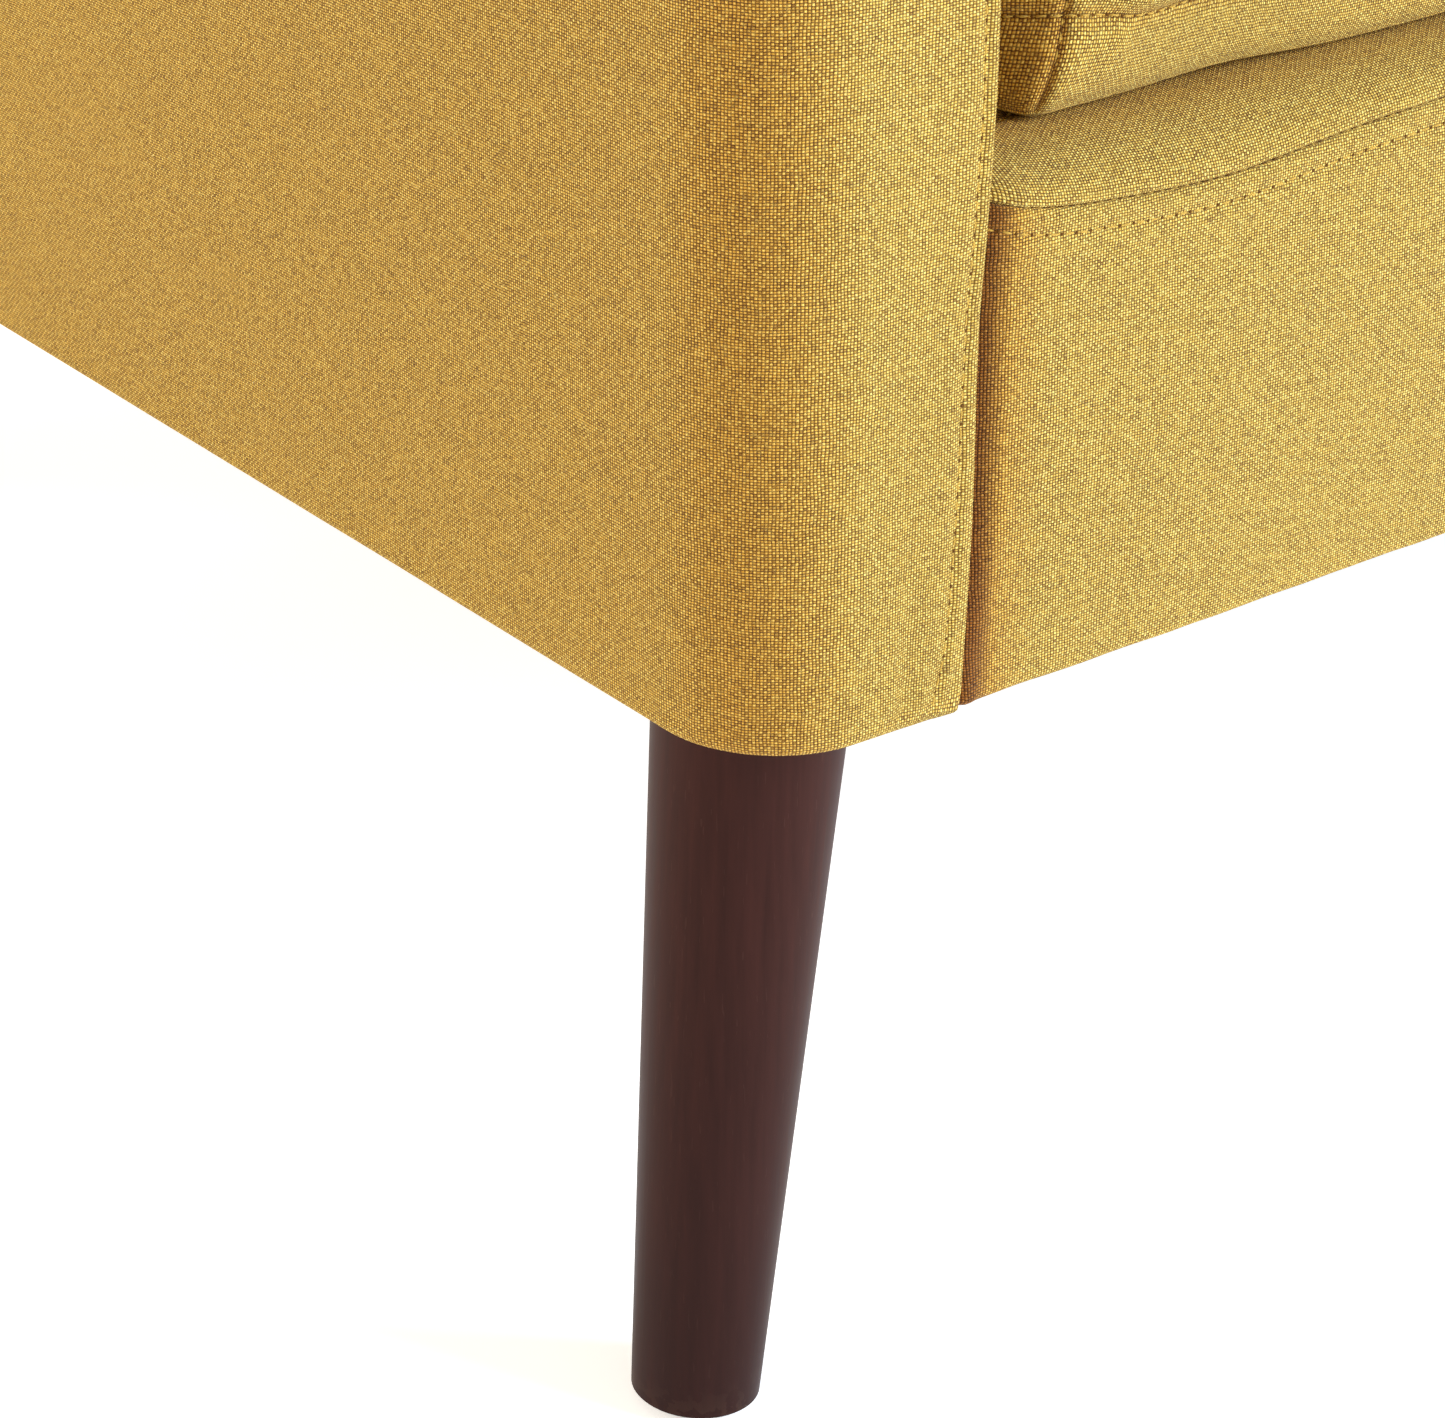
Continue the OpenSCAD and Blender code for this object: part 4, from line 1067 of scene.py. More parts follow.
# ------------------------------------------------------------------ fixed back
def build_back():
    """The padded back: a slab that leans on its front and stands upright behind."""
    x_l, x_r = aw + 0.4, W_mm - aw - 0.4
    ny0 = b_lo.z * mm
    r_h = 16.0
    xs_f = spaced([(x_l + 10, 4), (x_l + 40, 14), (W_mm / 2 - 12, 3), (W_mm / 2 + 12, 14), (x_r - 40, 4), (x_r - 10)])
    # outline as functions of height: front along +x, right side, rear, left side
    par = []
    for x in xs_f:
        par.append(("f", x))
    for a in np.linspace(0, 90, 8):
        par.append(("cfr", a))
    for t in (0.2, 0.4, 0.6, 0.8):
        par.append(("r", t))
    for a in np.linspace(0, 90, 5):
        par.append(("crr", a))
    for x in spaced([(x_r - 8, 40), (x_l + 8)])[1:-1]:
        par.append(("b", x))
    for a in np.linspace(0, 90, 5):
        par.append(("crl", a))
    for t in (0.8, 0.6, 0.4, 0.2):
        par.append(("l", t))
    for a in np.linspace(0, 90, 8):
        par.append(("cfl", a))
    rf, rb = 10.0, 4.0
    top = BACK_Z * mm
    yr = D_mm - 2.0
    rows = []
    for z in spaced([(ny0 + 1, 9), (top - 60, 4), (top - r_h)]):
        rows.append((z, 0.0))
    for a in np.linspace(0, 90, 9)[1:]:
        rows.append((top - r_h + r_h * math.sin(math.radians(a)), r_h * (1 - math.cos(math.radians(a)))))
    nr, nc = len(rows) + 4, len(par)
    P = np.zeros((nr, nc, 3))

    def outline(z, ins):
        yf = float(back_face(z * MM) - Y0) * mm + ins
        xl, xr, yb = x_l + ins, x_r - ins, yr - min(ins, 10)
        out = []
        for kind, a in par:
            if kind == "f":
                out.append((min(max(a, xl + rf), xr - rf), yf))
            elif kind == "cfr":
                q = math.radians(a)
                out.append((xr - rf + rf * math.sin(q), yf + rf - rf * math.cos(q)))
            elif kind == "r":
                out.append((xr, yf + rf + (yb - rb - yf - rf) * a))
            elif kind == "crr":
                q = math.radians(a)
                out.append((xr - rb + rb * math.cos(q), yb - rb + rb * math.sin(q)))
            elif kind == "b":
                out.append((min(max(a, xl + rb), xr - rb), yb))
            elif kind == "crl":
                q = math.radians(a)
                out.append((xl + rb - rb * math.sin(q), yb - rb + rb * math.cos(q)))
            elif kind == "l":
                out.append((xl, yf + rf + (yb - rb - yf - rf) * a))
            else:
                q = math.radians(a)
                out.append((xl + rf - rf * math.cos(q), yf + rf - rf * math.sin(q)))
        return np.array(out)
    for i, (z, ins) in enumerate(rows):
        P[i, :, :2] = outline(z, ins)
        P[i, :, 2] = z
    o_top = outline(top, r_h)
    yc = o_top[:, 1].mean() * 0 + 0.5 * (o_top[:, 1].min() + o_top[:, 1].max())
    med = np.stack([np.clip(o_top[:, 0], x_l + 34, x_r - 34), np.full(nc, yc)], 1)
    for k, t in enumerate((0.3, 0.6, 0.9, 0.995)):
        P[len(rows) + k, :, :2] = o_top + (med - o_top) * t
        P[len(rows) + k, :, 2] = top + 0.8 * t
    dsg = np.linalg.norm(np.roll(P[0], -1, 0) - P[0], axis=1)
    s = np.concatenate([[0], np.cumsum(dsg)])
    seg = np.linalg.norm(np.diff(P, axis=0), axis=2).mean(1)
    v = np.concatenate([[0], np.cumsum(seg)])
    UV = np.zeros((nr, nc + 1, 2))
    UV[:, :, 0] = s[None]
    UV[:, :, 1] = v[:, None]
    N = grid_normals(P, wrap=True)
    kinds = np.array([p[0] for p in par])
    fm = (kinds == "f")[None] * np.ones((nr, 1))
    if N[5, 5, 1] > 0:
        N = -N
        sign = -1
    else:
        sign = 1
    x, z = P[:, :, 0], P[:, :, 2]
    zr = np.clip((z - deck_m) / (top - deck_m), 0, 1)
    half = np.abs(x - W_mm / 2)
    panel = np.sin(np.pi * np.clip(half / (W_mm / 2 - x_l), 0, 1)) ** 0.6
    disp = fm * (4.5 * np.sin(np.pi * zr) ** 0.7 * panel)
    # one upright seam divides the inside back
    disp += fm * (-3.2 * np.exp(-(half / 5.0) ** 2) - 1.2 * np.exp(-(half / 1.4) ** 2)) * smooth(0, 0.06, 1 - zr)
    disp += 0.55 * fbm(x / 110.0, z / 120.0, seed=61) + 0.15 * fbm(x / 25.0, z / 30.0, seed=63)
    disp += fm * 0.35 * np.exp(-(half / 22.0) ** 2) * fbm(z / 11.0, x / 300.0, seed=64, octaves=2)
    last = np.array([1.0] * len(rows) + [1, 1, 1, 1])[:, None]
    disp = np.where(fm > 0, disp, np.minimum(disp, 0.4) * np.where(np.isin(kinds, ["r", "l", "cfr", "cfl"])[None], 0.6, 1.0))
    P = P + N * (disp * last)[:, :, None]
    P[:, :, 0] = P[:, :, 0] * MM + X0
    P[:, :, 1] = P[:, :, 1] * MM + Y0
    P[:, :, 2] *= MM
    o = grid_object("back_upholstery", P, UV * MM, wrap=True, flip=sign < 0)
    close_ends(o)
    fcols = np.where(kinds == "f")[0]
    mid = fcols[np.argmin(np.abs(P[0, fcols, 0]))]
    runs = []
    for dx in (-4.0, 4.0):
        pts = []
        for i in range(len(rows)):
            if rows[i][0] < deck_m + 10:
                continue
            xx = P[i, fcols, 0]
            order = np.argsort(xx)
            yv = np.interp(dx * MM, xx[order], P[i, fcols, 1][order])
            zv = P[i, mid, 2]
            pts.append((dx * MM, yv, zv))
        runs.append((pts, [(0, -1, 0.1)] * len(pts)))
    return o, runs


back, back_runs = build_back()
back.data.materials.append(m_fabric)
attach(back, "sofa")
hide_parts("back_cover", "back_foam")
stitch_mesh("back_centre_topstitch", back_runs)


def build_outside_back():
    """The outside back: a cloth panel over thin wadding, with a rolled edge."""
    x_l, x_r = aw + 1.0, W_mm - aw - 1.0
    zb, zt = z0m, BACK_Z * mm - 3.0
    xs = spaced([(x_l, 1.2), (x_l + 8, 4), (x_l + 40, 14), (x_r - 40, 4), (x_r - 8, 1.2), (x_r)])
    zs = spaced([(zb, 1.2), (zb + 8, 4), (zb + 60, 12), (zt - 40, 4), (zt - 8, 1.2), (zt)])
    X, Z = np.meshgrid(xs, zs)
    # the upper corners follow the back's own rounding
    rc = 14.0
    hx, hz = np.maximum(rc - np.minimum(X - x_l, x_r - X), 0), np.maximum(rc - (zt - Z), 0)
    q = np.hypot(hx, hz)
    over = np.where((hx > 0) & (hz > 0) & (q > 1e-9), np.maximum(hx, hz) / np.maximum(q, 1e-9), 1.0)
    mx, mz = hx * over, hz * over
    X = np.where(hx > 0, np.where(X < W_mm / 2, x_l + rc - mx, x_r - rc + mx), X)
    Z = np.where(hz > 0, zt - rc + mz, Z)
    ex = np.minimum(X - x_l, x_r - X)
    ez = np.minimum(Z - zb, zt - Z)
    cd = rc - np.hypot(np.maximum(rc - ex, 0), np.maximum(rc - (zt - Z), 0))
    incorner = (ex < rc) & (zt - Z < rc)
    ex = np.where(incorner, cd, ex)
    ez = np.where(incorner, cd, ez)
    r = 4.5
    def roll(d):
        t = np.clip(d / r, 0, 1)
        return r * (1 - np.sqrt(np.clip(1 - (1 - t) ** 2, 0, 1)))
    Y = D_mm - 0.2 - np.maximum(roll(ex), roll(ez))
    puff = 1.6 * np.sin(np.pi * (X - x_l) / (x_r - x_l)) ** 0.5 * np.sin(np.pi * (Z - zb) / (zt - zb)) ** 0.5
    low = np.exp(-(Z - zb) / 20.0)
    Y = Y + puff + 0.5 * fbm(X / 120, Z / 120, seed=71) + 0.13 * fbm(X / 24, Z / 24, seed=72)
    Y = Y + 0.45 * low * fbm(X / 16.0, Z / 100, seed=74, octaves=2) * smooth(0, 5, ez)
    # pull marks from the tacks along the edges
    Y = Y - 0.35 * np.exp(-ex / 10.0) * (0.5 + 0.5 * np.cos(2 * np.pi * Z / 38.0)) * smooth(0, 4, ex)
    P = np.stack([X * MM + X0, Y * MM + Y0, Z * MM], -1)
    UV = np.stack([X, Z], -1) * MM
    o = grid_object("outside_back", P, UV)
    return o


outside = build_outside_back()
faces_out(outside, (0, 1, 0))
solid(outside, 1.2 * MM)
outside.data.materials.append(m_fabric)
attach(outside, "sofa")
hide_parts("outer_back_cover", "outer_back_wadding")


# ------------------------------------------------------------------ cushions
def box_grid(nx, ny, nz):
    """All the points of a box's surface on a grid, the quads between them and each quad's side."""
    index, pts, faces, side = {}, [], [], []

    def vid(i, j, k):
        key = (i, j, k)
        if key not in index:
            index[key] = len(pts)
            pts.append(key)
        return index[key]
    a, b, c = nx - 1, ny - 1, nz - 1
    for i in range(a):
        for j in range(b):
            faces.append([vid(i, j, 0), vid(i, j + 1, 0), vid(i + 1, j + 1, 0), vid(i + 1, j, 0)]); side.append(0)
            faces.append([vid(i, j, c), vid(i + 1, j, c), vid(i + 1, j + 1, c), vid(i, j + 1, c)]); side.append(1)
    for i in range(a):
        for k in range(c):
            faces.append([vid(i, 0, k), vid(i + 1, 0, k), vid(i + 1, 0, k + 1), vid(i, 0, k + 1)]); side.append(2)
            faces.append([vid(i, b, k), vid(i, b, k + 1), vid(i + 1, b, k + 1), vid(i + 1, b, k)]); side.append(3)
    for j in range(b):
        for k in range(c):
            faces.append([vid(0, j, k), vid(0, j, k + 1), vid(0, j + 1, k + 1), vid(0, j + 1, k)]); side.append(4)
            faces.append([vid(a, j, k), vid(a, j + 1, k), vid(a, j + 1, k + 1), vid(a, j, k + 1)]); side.append(5)
    return np.array(pts), np.array(faces), np.array(side)


def vertex_normals(P, F):
    n = np.cross(P[F[:, 2]] - P[F[:, 0]], P[F[:, 3]] - P[F[:, 1]])
    out = np.zeros_like(P)
    for c in range(4):
        np.add.at(out, F[:, c], n)
    return out / np.maximum(np.linalg.norm(out, axis=1, keepdims=True), 1e-12)


def relax(P, F, keep, n=2, w=0.5):
    for _ in range(n):
        acc = np.zeros_like(P)
        cnt = np.zeros(len(P))
        for c in range(4):
            a, b = F[:, c], F[:, (c + 1) % 4]
            np.add.at(acc, a, P[b])
            np.add.at(acc, b, P[a])
            np.add.at(cnt, a, 1)
            np.add.at(cnt, b, 1)
        avg = acc / cnt[:, None]
        P = P + (avg - P) * w * (1 - keep)[:, None]
    return P


def cloth_puff(P, F, pressure, cap, frames=12, shrink=0.0):
    """Inflates a closed mesh with Cloth and gives back its points; no point moves more than cap."""
    o = new_mesh("sim_tmp", P, F.tolist(), smooth_shade=False)
    m = o.modifiers.new("Cloth", "CLOTH")
    s = m.settings
    s.quality = 6
    s.mass = 0.35
    s.tension_stiffness = 14
    s.compression_stiffness = 14
    s.shear_stiffness = 6
    s.bending_stiffness = 0.6
    s.use_pressure = True
    s.uniform_pressure_force = pressure
    s.shrink_min = shrink
    s.effector_weights.gravity = 0.0
    m.point_cache.frame_start = 1
    m.point_cache.frame_end = frames
    sc = bpy.context.scene
    sc.frame_start, sc.frame_end = 1, frames
    out = P
    for f in range(1, frames + 1):
        sc.frame_set(f)
    dg = bpy.context.evaluated_depsgraph_get()
    ev = o.evaluated_get(dg)
    me = ev.to_mesh()
    co = np.zeros(len(me.vertices) * 3, np.float32)
    me.vertices.foreach_get("co", co)
    out = co.reshape(-1, 3).astype(float)
    ev.to_mesh_clear()
    sc.frame_set(1)
    old = o.data
    bpy.data.objects.remove(o)
    bpy.data.meshes.remove(old)
    d = out - P
    L = np.linalg.norm(d, axis=1, keepdims=True)
    print("cloth: mean move %.1f mm, largest %.1f mm" % (L.mean() * 1000, L.max() * 1000))
    return P + d * np.minimum(1, cap / np.maximum(L, 1e-9)) if np.isfinite(out).all() else P


def soft_min(a, b, k):
    """smooth minimum, for a face that rests against a plane"""
    h = np.clip(0.5 + 0.5 * (b - a) / k, 0, 1)
    return b * (1 - h) + a * h - k * h * (1 - h)


def cushion(name, size, radius, seam_at, seed, press, cap, pull, crown, hold=(1.0, 10.0), foot=None, rise=0.0, side_painted_shade=0.06):
    """A box cushion in its own coordinates, in mm: x across, y from front to back, z up, centred.
    seam_at: heights of the two long seams. pull: how far the corners are drawn in. crown: how far the faces bulge."""
    a, b, c = size
    sa, sb = seam_at

    def ticks(h, step, fine):
        half = spaced([(-h, 1.3), (-h + 4, 2.4), (-h + 12, 5.0), (-h + 27, step), (0.0)])
        return np.concatenate([half, -half[:-1][::-1]])
    step = 10.0
    tx, ty = ticks(a / 2, step, 5.0), ticks(b / 2, step, 5.0)
    z_lo = spaced([(-c / 2, 4.0), (sa - 7, 2.0), (sa - 1.0, 1.0), (sa + 1.0, 2.0), (sa + 7, 7.0), (sb - 7, 2.0), (sb - 1.0, 1.0), (sb + 1.0, 2.0), (sb + 7, 4.0), (c / 2)])
    tz = z_lo
    K, F, side = box_grid(len(tx), len(ty), len(tz))
    G = np.stack([tx[K[:, 0]], ty[K[:, 1]], tz[K[:, 2]]], 1)
    h = np.array([a / 2, b / 2, c / 2])
    # the long lower edges may be rounded less than the others
    rz = np.where(G[:, 2] < 0, radius if foot is None else foot, radius)
    r = np.stack([np.full(len(G), radius), np.full(len(G), radius), rz], 1)
    q = np.clip(G, -(h - r), h - r)
    dvec = (G - q) / r
    n = dvec / np.maximum(np.linalg.norm(dvec, axis=1, keepdims=True), 1e-9)
    P = q + n * r
    # each corner is drawn in, more along its side than along its front
    ex, ey = h[0] - np.abs(P[:, 0]), h[1] - np.abs(P[:, 1])
    fr = P[:, 1] < 0
    sx, sy = np.where(fr, pull[0], pull[2]), np.where(fr, pull[1], pull[3])
    near = np.exp(-(np.maximum(ey, 0) / 48.0) ** 1.2)
    near2 = np.exp(-(np.maximum(ex, 0) / 46.0) ** 1.2)
    sx = sx * (0.80 + 0.26 * np.sin(np.pi * np.clip(P[:, 2] / c + 0.5, 0, 1)) - 0.16 * np.exp(-(P[:, 2] + c / 2) / 7.0))
    P[:, 0] -= np.sign(P[:, 0]) * sx * near * smooth(120, 0, np.maximum(ex, 0))
    P[:, 1] -= np.sign(P[:, 1]) * sy * near2 * smooth(120, 0, np.maximum(ey, 0))
    # the seams climb a little towards each corner, where the cloth is gathered
    dc = np.hypot(np.maximum(ex, 0), np.maximum(ey, 0))
    t_lo = np.clip((P[:, 2] + c / 2) / (sa + c / 2), 0, 1)
    t_hi = np.clip((c / 2 - P[:, 2]) / (c / 2 - sa), 0, 1)
    P[:, 2] += rise * np.exp(-(dc / 24.0) ** 2) * np.minimum(t_lo, t_hi) ** 1.2
    base = P.copy()
    # faces bulge before the cloth is inflated
    ux, uy, uz = P[:, 0] / h[0], P[:, 1] / h[1], P[:, 2] / h[2]
    dome = np.clip(1 - ux ** 2, 0, 1) ** 0.75 * np.clip(1 - uy ** 2, 0, 1) ** 0.75
    P[:, 2] += np.sign(P[:, 2]) * crown[0] * dome * np.abs(uz) ** 2
    P[:, 1] += np.sign(P[:, 1]) * crown[1] * np.clip(1 - ux ** 4, 0, 1) * np.clip(1 - 0.35 * uz ** 2, 0, 1) * smooth(0.8, 1.0, np.abs(uy))
    P[:, 0] += np.sign(P[:, 0]) * crown[1] * np.clip(1 - uy ** 4, 0, 1) * np.clip(1 - uz ** 2, 0, 1) * smooth(0.8, 1.0, np.abs(ux))
    # an uneven filling gives the cloth something to wrinkle over
    rough = P + vertex_normals(P, F) * (1.6 * fbm(P[:, 0] / 70, P[:, 1] / 70, P[:, 2] / 70, seed=seed))[:, None]
    Q = cloth_puff(rough * MM, F, press, cap * MM) * mm
    Q = relax(Q, F, np.zeros(len(Q)), 1, 0.35)
    w = hold[0] + (1 - hold[0]) * smooth(-h[2] + 2, -h[2] + hold[1], P[:, 2])
    P = P + (Q - P) * w[:, None]
    # seams draw in, and the cloth puckers beside them
    N = vertex_normals(P, F)
    on_side = np.maximum(np.abs(G[:, 0]) / h[0], np.abs(G[:, 1]) / h[1]) > 0.9999
    gz = G[:, 2]
    d1 = np.minimum(np.abs(gz - sa), np.abs(gz - sb))
    d1 = np.where(on_side, d1, 99.0)
    cx = np.hypot(h[0] - np.abs(G[:, 0]), h[1] - np.abs(G[:, 1]))
    d2 = np.where(on_side, cx, 99.0)
    run = G[:, 0] + G[:, 1] * 1.7
    puck = fbm(run / 9.0, gz / 40.0, seed=seed + 2, octaves=2)
    puck2 = fbm(gz / 8.0, run / 60.0, seed=seed + 3, octaves=2)
    disp = -1.8 * np.exp(-(d1 / 1.3) ** 2) + 0.5 * np.exp(-((d1 - 4.2) / 2.6) ** 2)
    disp += -1.0 * np.exp(-(d2 / 1.0) ** 2) + 0.45 * np.exp(-((d2 - 4.5) / 3.0) ** 2)
    disp += 0.75 * np.exp(-(d1 / 9.0) ** 2) * puck + 0.8 * np.exp(-(d2 / 10.0) ** 2) * puck2
    disp += 0.7 * fbm(P[:, 0] / 60, P[:, 1] / 60, P[:, 2] / 60, seed=seed + 5)
    P = P + N * disp[:, None]
    # cloth coordinates per side
    UVc = np.zeros((len(F), 4, 2))
    Gf = G[F]
    for sd, (i, j, off) in {0: (0, 1, 0), 1: (0, 1, 1.3), 2: (0, 2, 0), 3: (0, 2, 0.7), 4: (1, 2, 0.4), 5: (1, 2, 0.2)}.items():
        msk = side == sd
        UVc[msk, :, 0] = Gf[msk][:, :, i] + off
        UVc[msk, :, 1] = Gf[msk][:, :, j] + off
    # painted shade: the tone below darkens and browns the cushion's left and right sides, where they stand in the
    # shadowed gaps beside the arms and each other, a band along the lower edge of the faces, and the seam grooves
    gx, gy = np.abs(G[:, 0]) / h[0], np.abs(G[:, 1]) / h[1]
    tone = side_painted_shade * smooth(0.995, 1.0, gx) * (1 - 0.5 * smooth(sa, sb, gz))
    tone = np.maximum(tone, 0.05 * (1 - smooth(-h[2] + 2, -h[2] + 18, gz)))
    tone = np.maximum(tone, 0.75 * np.exp(-(d2 / 1.6) ** 2))
    tone = np.maximum(tone, 0.22 * np.exp(-(d1 / 1.3) ** 2))
    return P, F, UVc, G, h, side, tone


def lift(run, d):
    """stitches lie on the subdivided cloth, a little above the bottom of the seam"""
    return run[0] + run[1] * d, run[1]


def ring_points(P, G, h, z, N):
    """the points of one long seam, in order round the cushion"""
    on = (np.abs(G[:, 2] - z) < 1e-6) & (np.maximum(np.abs(G[:, 0]) / h[0], np.abs(G[:, 1]) / h[1]) > 0.9999)
    idx = np.where(on)[0]
    ang = np.arctan2(G[idx, 1] / h[1], G[idx, 0] / h[0])
    gx, gy = G[idx, 0] / h[0], G[idx, 1] / h[1]
    t = np.where(gy <= -0.9999, gx + 1, np.where(gx >= 0.9999, gy + 3, np.where(gy >= 0.9999, 5 - gx, 7 - gy)))
    idx = idx[np.argsort(t)]
    idx = np.append(idx, idx[0])
    return P[idx], N[idx]


def column_points(P, G, h, sx, sy, N):
    on = (np.abs(G[:, 0] - sx * h[0]) < 1e-6) & (np.abs(G[:, 1] - sy * h[1]) < 1e-6)
    idx = np.where(on)[0]
    idx = idx[np.argsort(G[idx, 2])]
    return P[idx], N[idx]


def finish_cushion(name, data, place, body, reps, flip=1):
    P, F, UVc, G, h, side, tone = data
    P = P.copy()
    P[:, 0] *= flip
    Q = place(P)
    N = vertex_normals(Q, F)
    if flip < 0:
        N = -N
    o = new_mesh(name, Q * MM, F.tolist(), UVc.reshape(-1, 2) * MM)
    if flip < 0:
        o.data.flip_normals()
    set_shade(o, tone)
    m = o.modifiers.new("Subdivision", "SUBSURF")
    m.levels = m.render_levels = 1
    m.boundary_smooth = "PRESERVE_CORNERS"
    apply_modifiers(o)
    o.data.materials.append(m_fabric)
    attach(o, body)
    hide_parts(*reps)
    return o, Q, N, G, h


# seat cushions: in place, flat where they lie on the deck and against the arm
cx = 0.5 * (sc_lo.x + sc_hi.x) * mm
cy = 0.5 * (sc_lo.y + sc_hi.y) * mm
cz = 0.5 * (sc_lo.z + sc_hi.z) * mm
sw, sd_, sh = (sc_hi.x - sc_lo.x) * mm, (sc_hi.y - sc_lo.y) * mm, (sc_hi.z - sc_lo.z) * mm
bcy_front = bc_lo.y * mm


def place_seat(P):
    Q = P + np.array([cx, cy, cz])
    z_lo = sc_lo.z * mm
    # it lies flat on the deck, and its weight rounds the lower edge
    Q[:, 2] = -soft_min(-Q[:, 2], np.full(len(Q), -(z_lo + 0.1)), 1.5)
    Q[:, 2] = np.maximum(Q[:, 2], z_lo + 0.1)
    # the back cushion stands on its rear part
    top = sc_hi.z * mm
    under = smooth(bcy_front - 28, bcy_front + 12, Q[:, 1])
    lim = (top + 30) * (1 - under) + (top + 0.1) * under
    Q[:, 2] = soft_min(Q[:, 2], lim, 2.0)
    xo, xi_ = sc_lo.x * mm, sc_hi.x * mm
    Q[:, 0] = -soft_min(-Q[:, 0], np.full(len(Q), -(xo - 0.4)), 3.0)
    Q[:, 0] = soft_min(Q[:, 0], np.full(len(Q), xi_ + 0.5), 3.0)
    yb = sc_hi.y * mm
    Q[:, 1] = soft_min(Q[:, 1], np.full(len(Q), yb + 0.4), 3.0)
    return Q


seat_data = {}
back_data = {}
for s, sgn, seed in (("left", 1, 101), ("right", -1, 151)):
    # the seat cushions' sides get a strong painted shade, for the shadowed gaps beside the arms
    seat_data[s] = cushion(s + "_seat", (sw - 2, sd_ - 2, sh - 2), 6.0, (-sh / 2 + 17, sh / 2 - 19), seed,
                           2.6, 14.0, (32.0, -2.0, 12.0, 6.0), (10.0, 7.0), hold=(0.12, 34.0), foot=3.0, rise=4.6, side_painted_shade=0.42)
    body = s + "_seat_cushion"

    def place(P, sgn=sgn):
        Q = P.copy()
        Q = place_seat(Q)
        if sgn < 0:
            Q[:, 0] *= -1
        return Q
    o, Q, N, G, h = finish_cushion(s + "_seat_cushion_cloth", seat_data[s], place, body,
                                   [s + "_seat_cover", s + "_seat_wrap", s + "_seat_core"])
    if sgn < 0:
        o.data.flip_normals()
        N = -N
    runs = []
    for zz in (-sh / 2 + 17, sh / 2 - 19):
        pts, nrm = ring_points(Q * MM, G, h, zz, N)
        if len(pts) > 4:
            runs.append(lift((pts, nrm), 0.85 * MM))
    for px_ in (-1, 1):
        for py_ in (-1, 1):
            pts, nrm = column_points(Q * MM, G, h, px_, py_, N)
            if len(pts) > 3:
                runs.append(lift((pts[2:-2], nrm[2:-2]), 0.35 * MM))
    stitch_mesh(s + "_seat_cushion_stitches", runs, length=2.4 * MM, pitch=3.6 * MM, width=0.5 * MM, height=0.3 * MM, body=body)

# zips along the rear of the seat cushions: two woven tapes and a row of teeth
def build_zip():
    lo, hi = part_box("left_seat_zip")
    x0, x1 = lo.x * mm + 1.0, hi.x * mm - 1.0
    zc = 0.5 * (lo.z + hi.z) * mm
    yf = sc_hi.y * mm + 0.30
    xs = spaced([(x0, 5.0), (x1)])
    prof = [(1.15, 0.10), (1.35, 0.72), (1.9, 0.86), (2.5, 0.46), (3.6, 0.34), (4.9, 0.26), (5.7, 0.24), (6.1, -0.5)]
    verts, faces, uvs = [], [], []
    for sg in (-1, 1):
        b = len(verts)
        for x in xs:
            w = 0.14 * float(fbm(np.array(x / 22.0), np.array(sg * 3.0), seed=81))
            for dz, dy in prof:
                verts.append((x * MM, (yf + dy + w * (0.2 + dz / 8.0)) * MM, (zc + sg * (dz + 0.5 * w)) * MM))
        n = len(prof)
        for i in range(len(xs) - 1):
            for j in range(n - 1):
                a = b + i * n + j
                f = (a, a + 1, a + n + 1, a + n)
                faces.append(f if sg > 0 else f[::-1])
                for v_ in faces[-1]:
                    uvs.append((verts[v_][0] * 1.6, verts[v_][2] * 1.6))
    tape = new_mesh("left_seat_zip_tapes", np.array(verts), faces, np.array(uvs))
    faces_out(tape, (0, 1, 0))
    solid(tape, 0.35 * MM)
    tv, tf = [], []
    n_t = int((x1 - x0 - 4) / 1.6)
    for i in range(n_t):
        sg = 1 if i % 2 else -1
        xc = x0 + 2 + 1.6 * i
        b = len(tv)
        rings = [(-1.95, 0.30, 0.34), (-1.5, 0.46, 0.50), (-0.2, 0.50, 0.55), (0.55, 0.66, 0.60), (0.95, 0.40, 0.36)]
        for dz, rx, ry in rings:
            for q in range(8):
                an = 2 * math.pi * (q + 0.5) / 8
                tv.append(((xc + rx * math.cos(an)) * MM, (yf + 0.62 + ry * math.sin(an)) * MM, (zc + sg * dz) * MM))
        for k_ in range(len(rings) - 1):
            for q in range(8):
                a0, a1 = b + k_ * 8 + q, b + k_ * 8 + (q + 1) % 8
                f = (a0, a1, a1 + 8, a0 + 8)
                tf.append(f if sg > 0 else f[::-1])
        f1 = tuple(b + 7 - q for q in range(8))
        f2 = tuple(b + 8 * (len(rings) - 1) + q for q in range(8))
        tf.append(f1 if sg > 0 else f1[::-1])
        tf.append(f2 if sg > 0 else f2[::-1])
    teeth = new_mesh("left_seat_zip_teeth", np.array(tv), tf, None)
    runs = []
    for sg in (-1, 1):
        runs.append(([(x * MM, (yf + 0.50) * MM, (zc + sg * 4.4) * MM) for x in xs], [(0, 1, 0)] * len(xs)))
    return tape, teeth, runs


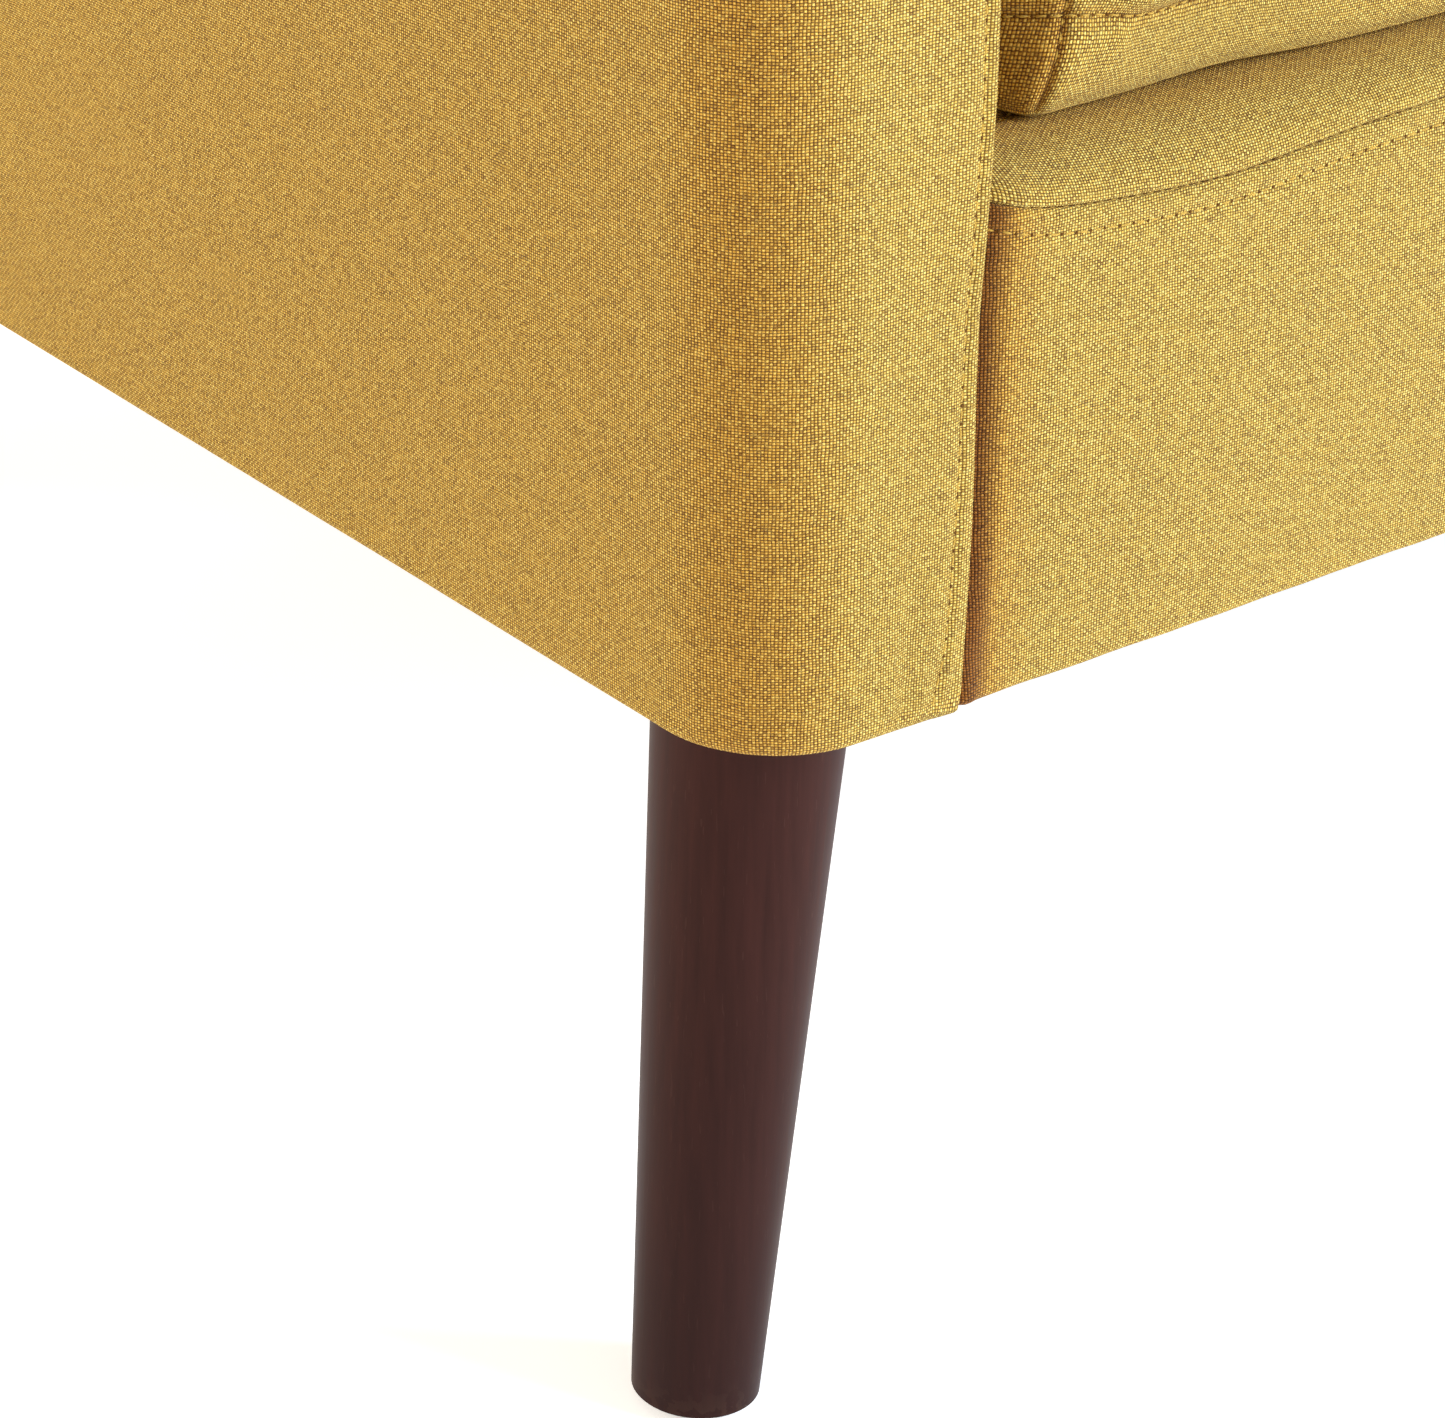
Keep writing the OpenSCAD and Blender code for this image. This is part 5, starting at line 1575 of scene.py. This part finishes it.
tape_l, teeth_l, zip_runs = build_zip()
tape_l.data.materials.append(m_fabric)
teeth_l.data.materials.append(m_thread)
for s, tp, te in (("left", tape_l, teeth_l), ("right", mirrored(tape_l, "right_seat_zip_tapes"), mirrored(teeth_l, "right_seat_zip_teeth"))):
    for o in (tp, te):
        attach(o, s + "_seat_cushion")
    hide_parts(s + "_seat_zip")
    rr_ = zip_runs if s == "left" else [([(-a, b, c) for a, b, c in q], n_) for q, n_ in zip_runs]
    stitch_mesh(s + "_seat_zip_stitches", rr_, length=2.4 * MM, pitch=3.6 * MM, width=0.45 * MM, height=0.25 * MM, body=s + "_seat_cushion")

# loose back cushions
bw = (bc_hi.x - bc_lo.x) * mm
bz0, bz1 = bc_lo.z * mm, bc_hi.z * mm
bcx = 0.5 * (bc_lo.x + bc_hi.x) * mm
bt = 140.0
bh = bz1 - bz0
lean = math.atan(LEAN)


def place_back(P):
    # P: x across, y up the cushion, z out of its front face; centred
    up, out = P[:, 1], P[:, 2]
    x = P[:, 0] + bcx
    zc = bz0 + bh / 2
    yc = float(back_face(zc * MM)) * mm - 0.8 - bt / 2 / math.cos(lean)
    y = yc + up * math.sin(lean) - out * math.cos(lean)
    z = zc + up * math.cos(lean) + out * math.sin(lean)
    Q = np.stack([x, y, z], 1)
    # it stands on the seat cushion and leans on the back
    Q[:, 2] = -soft_min(-Q[:, 2], np.full(len(Q), -(bz0 + 0.3)), 5.0)
    Q[:, 2] = np.maximum(Q[:, 2], bz0 + 0.2)
    face = back_face(Q[:, 2] * MM) * mm - 1.0 - 4.6 * np.sin(np.pi * np.clip((Q[:, 2] - deck_m) / (BACK_Z * mm - deck_m), 0, 1)) ** 0.7
    over = smooth(BACK_Z * mm - 10, BACK_Z * mm + 25, Q[:, 2])
    Q[:, 1] = soft_min(Q[:, 1], face + 14 * over, 4.0)
    xo, xi_ = bc_lo.x * mm, bc_hi.x * mm
    Q[:, 0] = -soft_min(-Q[:, 0], np.full(len(Q), -(xo - 0.4)), 3.0)
    Q[:, 0] = soft_min(Q[:, 0], np.full(len(Q), xi_ + 0.5), 3.0)
    return Q


for s, sgn, seed in (("left", 1, 211), ("right", -1, 263)):
    data = cushion(s + "_back", (bw - 4, bh - 6, bt - 24), 18.0, (-bt / 2 + 12 + 22, bt / 2 - 12 - 22), seed,
                   3.2, 22.0, (12.0, 10.0, 12.0, 10.0), (16.0, 5.0))
    back_data[s] = data
    body = s + "_back_cushion"

    def place(P, sgn=sgn):
        Q = place_back(P.copy())
        if sgn < 0:
            Q[:, 0] *= -1
        return Q
    o, Q, N, G, h = finish_cushion(s + "_back_cushion_cloth", data, place, body,
                                   [s + "_back_cushion_cover", s + "_back_filling"])
    # the placing turns the cushion, so the mesh is checked for its outside
    cen = Q.mean(0)
    if ((Q - cen) * N).sum(1).mean() < 0:
        N = -N
    n0 = np.zeros(len(o.data.polygons) * 3, np.float32)
    c0 = np.zeros(len(o.data.polygons) * 3, np.float32)
    o.data.polygons.foreach_get("normal", n0)
    o.data.polygons.foreach_get("center", c0)
    if (n0.reshape(-1, 3) * (c0.reshape(-1, 3) - cen * MM)).sum() < 0:
        o.data.flip_normals()
    runs = []
    for zz in (-bt / 2 + 34, bt / 2 - 34):
        pts, nrm = ring_points(Q * MM, G, h, zz, N)
        if len(pts) > 4:
            runs.append(lift((pts, nrm), 0.85 * MM))
    for px_ in (-1, 1):
        for py_ in (-1, 1):
            pts, nrm = column_points(Q * MM, G, h, px_, py_, N)
            if len(pts) > 3:
                runs.append(lift((pts[2:-2], nrm[2:-2]), 0.35 * MM))
    stitch_mesh(s + "_back_cushion_stitches", runs, length=2.4 * MM, pitch=3.6 * MM, width=0.5 * MM, height=0.3 * MM, body=body)


# ------------------------------------------------------------------ camera, light and floor
sc = bpy.context.scene
cam_data = bpy.data.cameras.new("camera")
cam_data.lens = 96.46
cam_data.sensor_width = 36.0
cam_data.clip_end = 100.0
cam = bpy.data.objects.new("camera", cam_data)
sc.collection.objects.link(cam)
cam.location = (X0 - 0.4315, Y0 - 0.5563, Z0 + 0.375)
cam.rotation_euler = (math.radians(63.12), 0.0, math.radians(-37.335))
sc.camera = cam

floor_me = bpy.data.meshes.new("floor")
floor_me.from_pydata([(-30, -30, 0), (30, -30, 0), (30, 30, 0), (-30, 30, 0)], [], [(0, 1, 2, 3)])
floor = bpy.data.objects.new("floor", floor_me)
sc.collection.objects.link(floor)
kf = Nodes("pale_floor")
floor_me.materials.append(kf.done((0.93, 0.93, 0.93), 0.9, Specular_IOR_Level=0.1,
                                  Emission_Color=(1.0, 1.0, 1.0, 1.0), Emission_Strength=0.55))

world = bpy.data.worlds.new("world")
sc.world = world
world.use_nodes = True
world.node_tree.nodes["Background"].inputs[0].default_value = (1.0, 0.97, 0.91, 1)
world.node_tree.nodes["Background"].inputs[1].default_value = 0.50


def area(name, loc, target, size, power, color=(1, 1, 1)):
    d = bpy.data.lights.new(name, "AREA")
    d.shape = "RECTANGLE"
    d.size, d.size_y = size
    d.energy = power
    d.color = color
    o = bpy.data.objects.new(name, d)
    sc.collection.objects.link(o)
    o.location = loc
    o.rotation_euler = (Vector(target) - Vector(loc)).to_track_quat("-Z", "Y").to_euler()
    return o


area("key", (1.35, -2.95, 1.55), (-0.5, -0.3, 0.35), (1.5, 1.3), 150, (0.885, 1.025, 1.18))
area("left", (-3.1, 1.55, 1.45), (-0.7, 0.0, 0.35), (1.6, 1.6), 66, (1.0, 0.82, 0.55))
area("rear", (1.9, 3.3, 2.0), (0.1, 0.3, 0.45), (1.8, 1.5), 75, (1.0, 0.98, 0.95))
sc.view_settings.view_transform = "Standard"
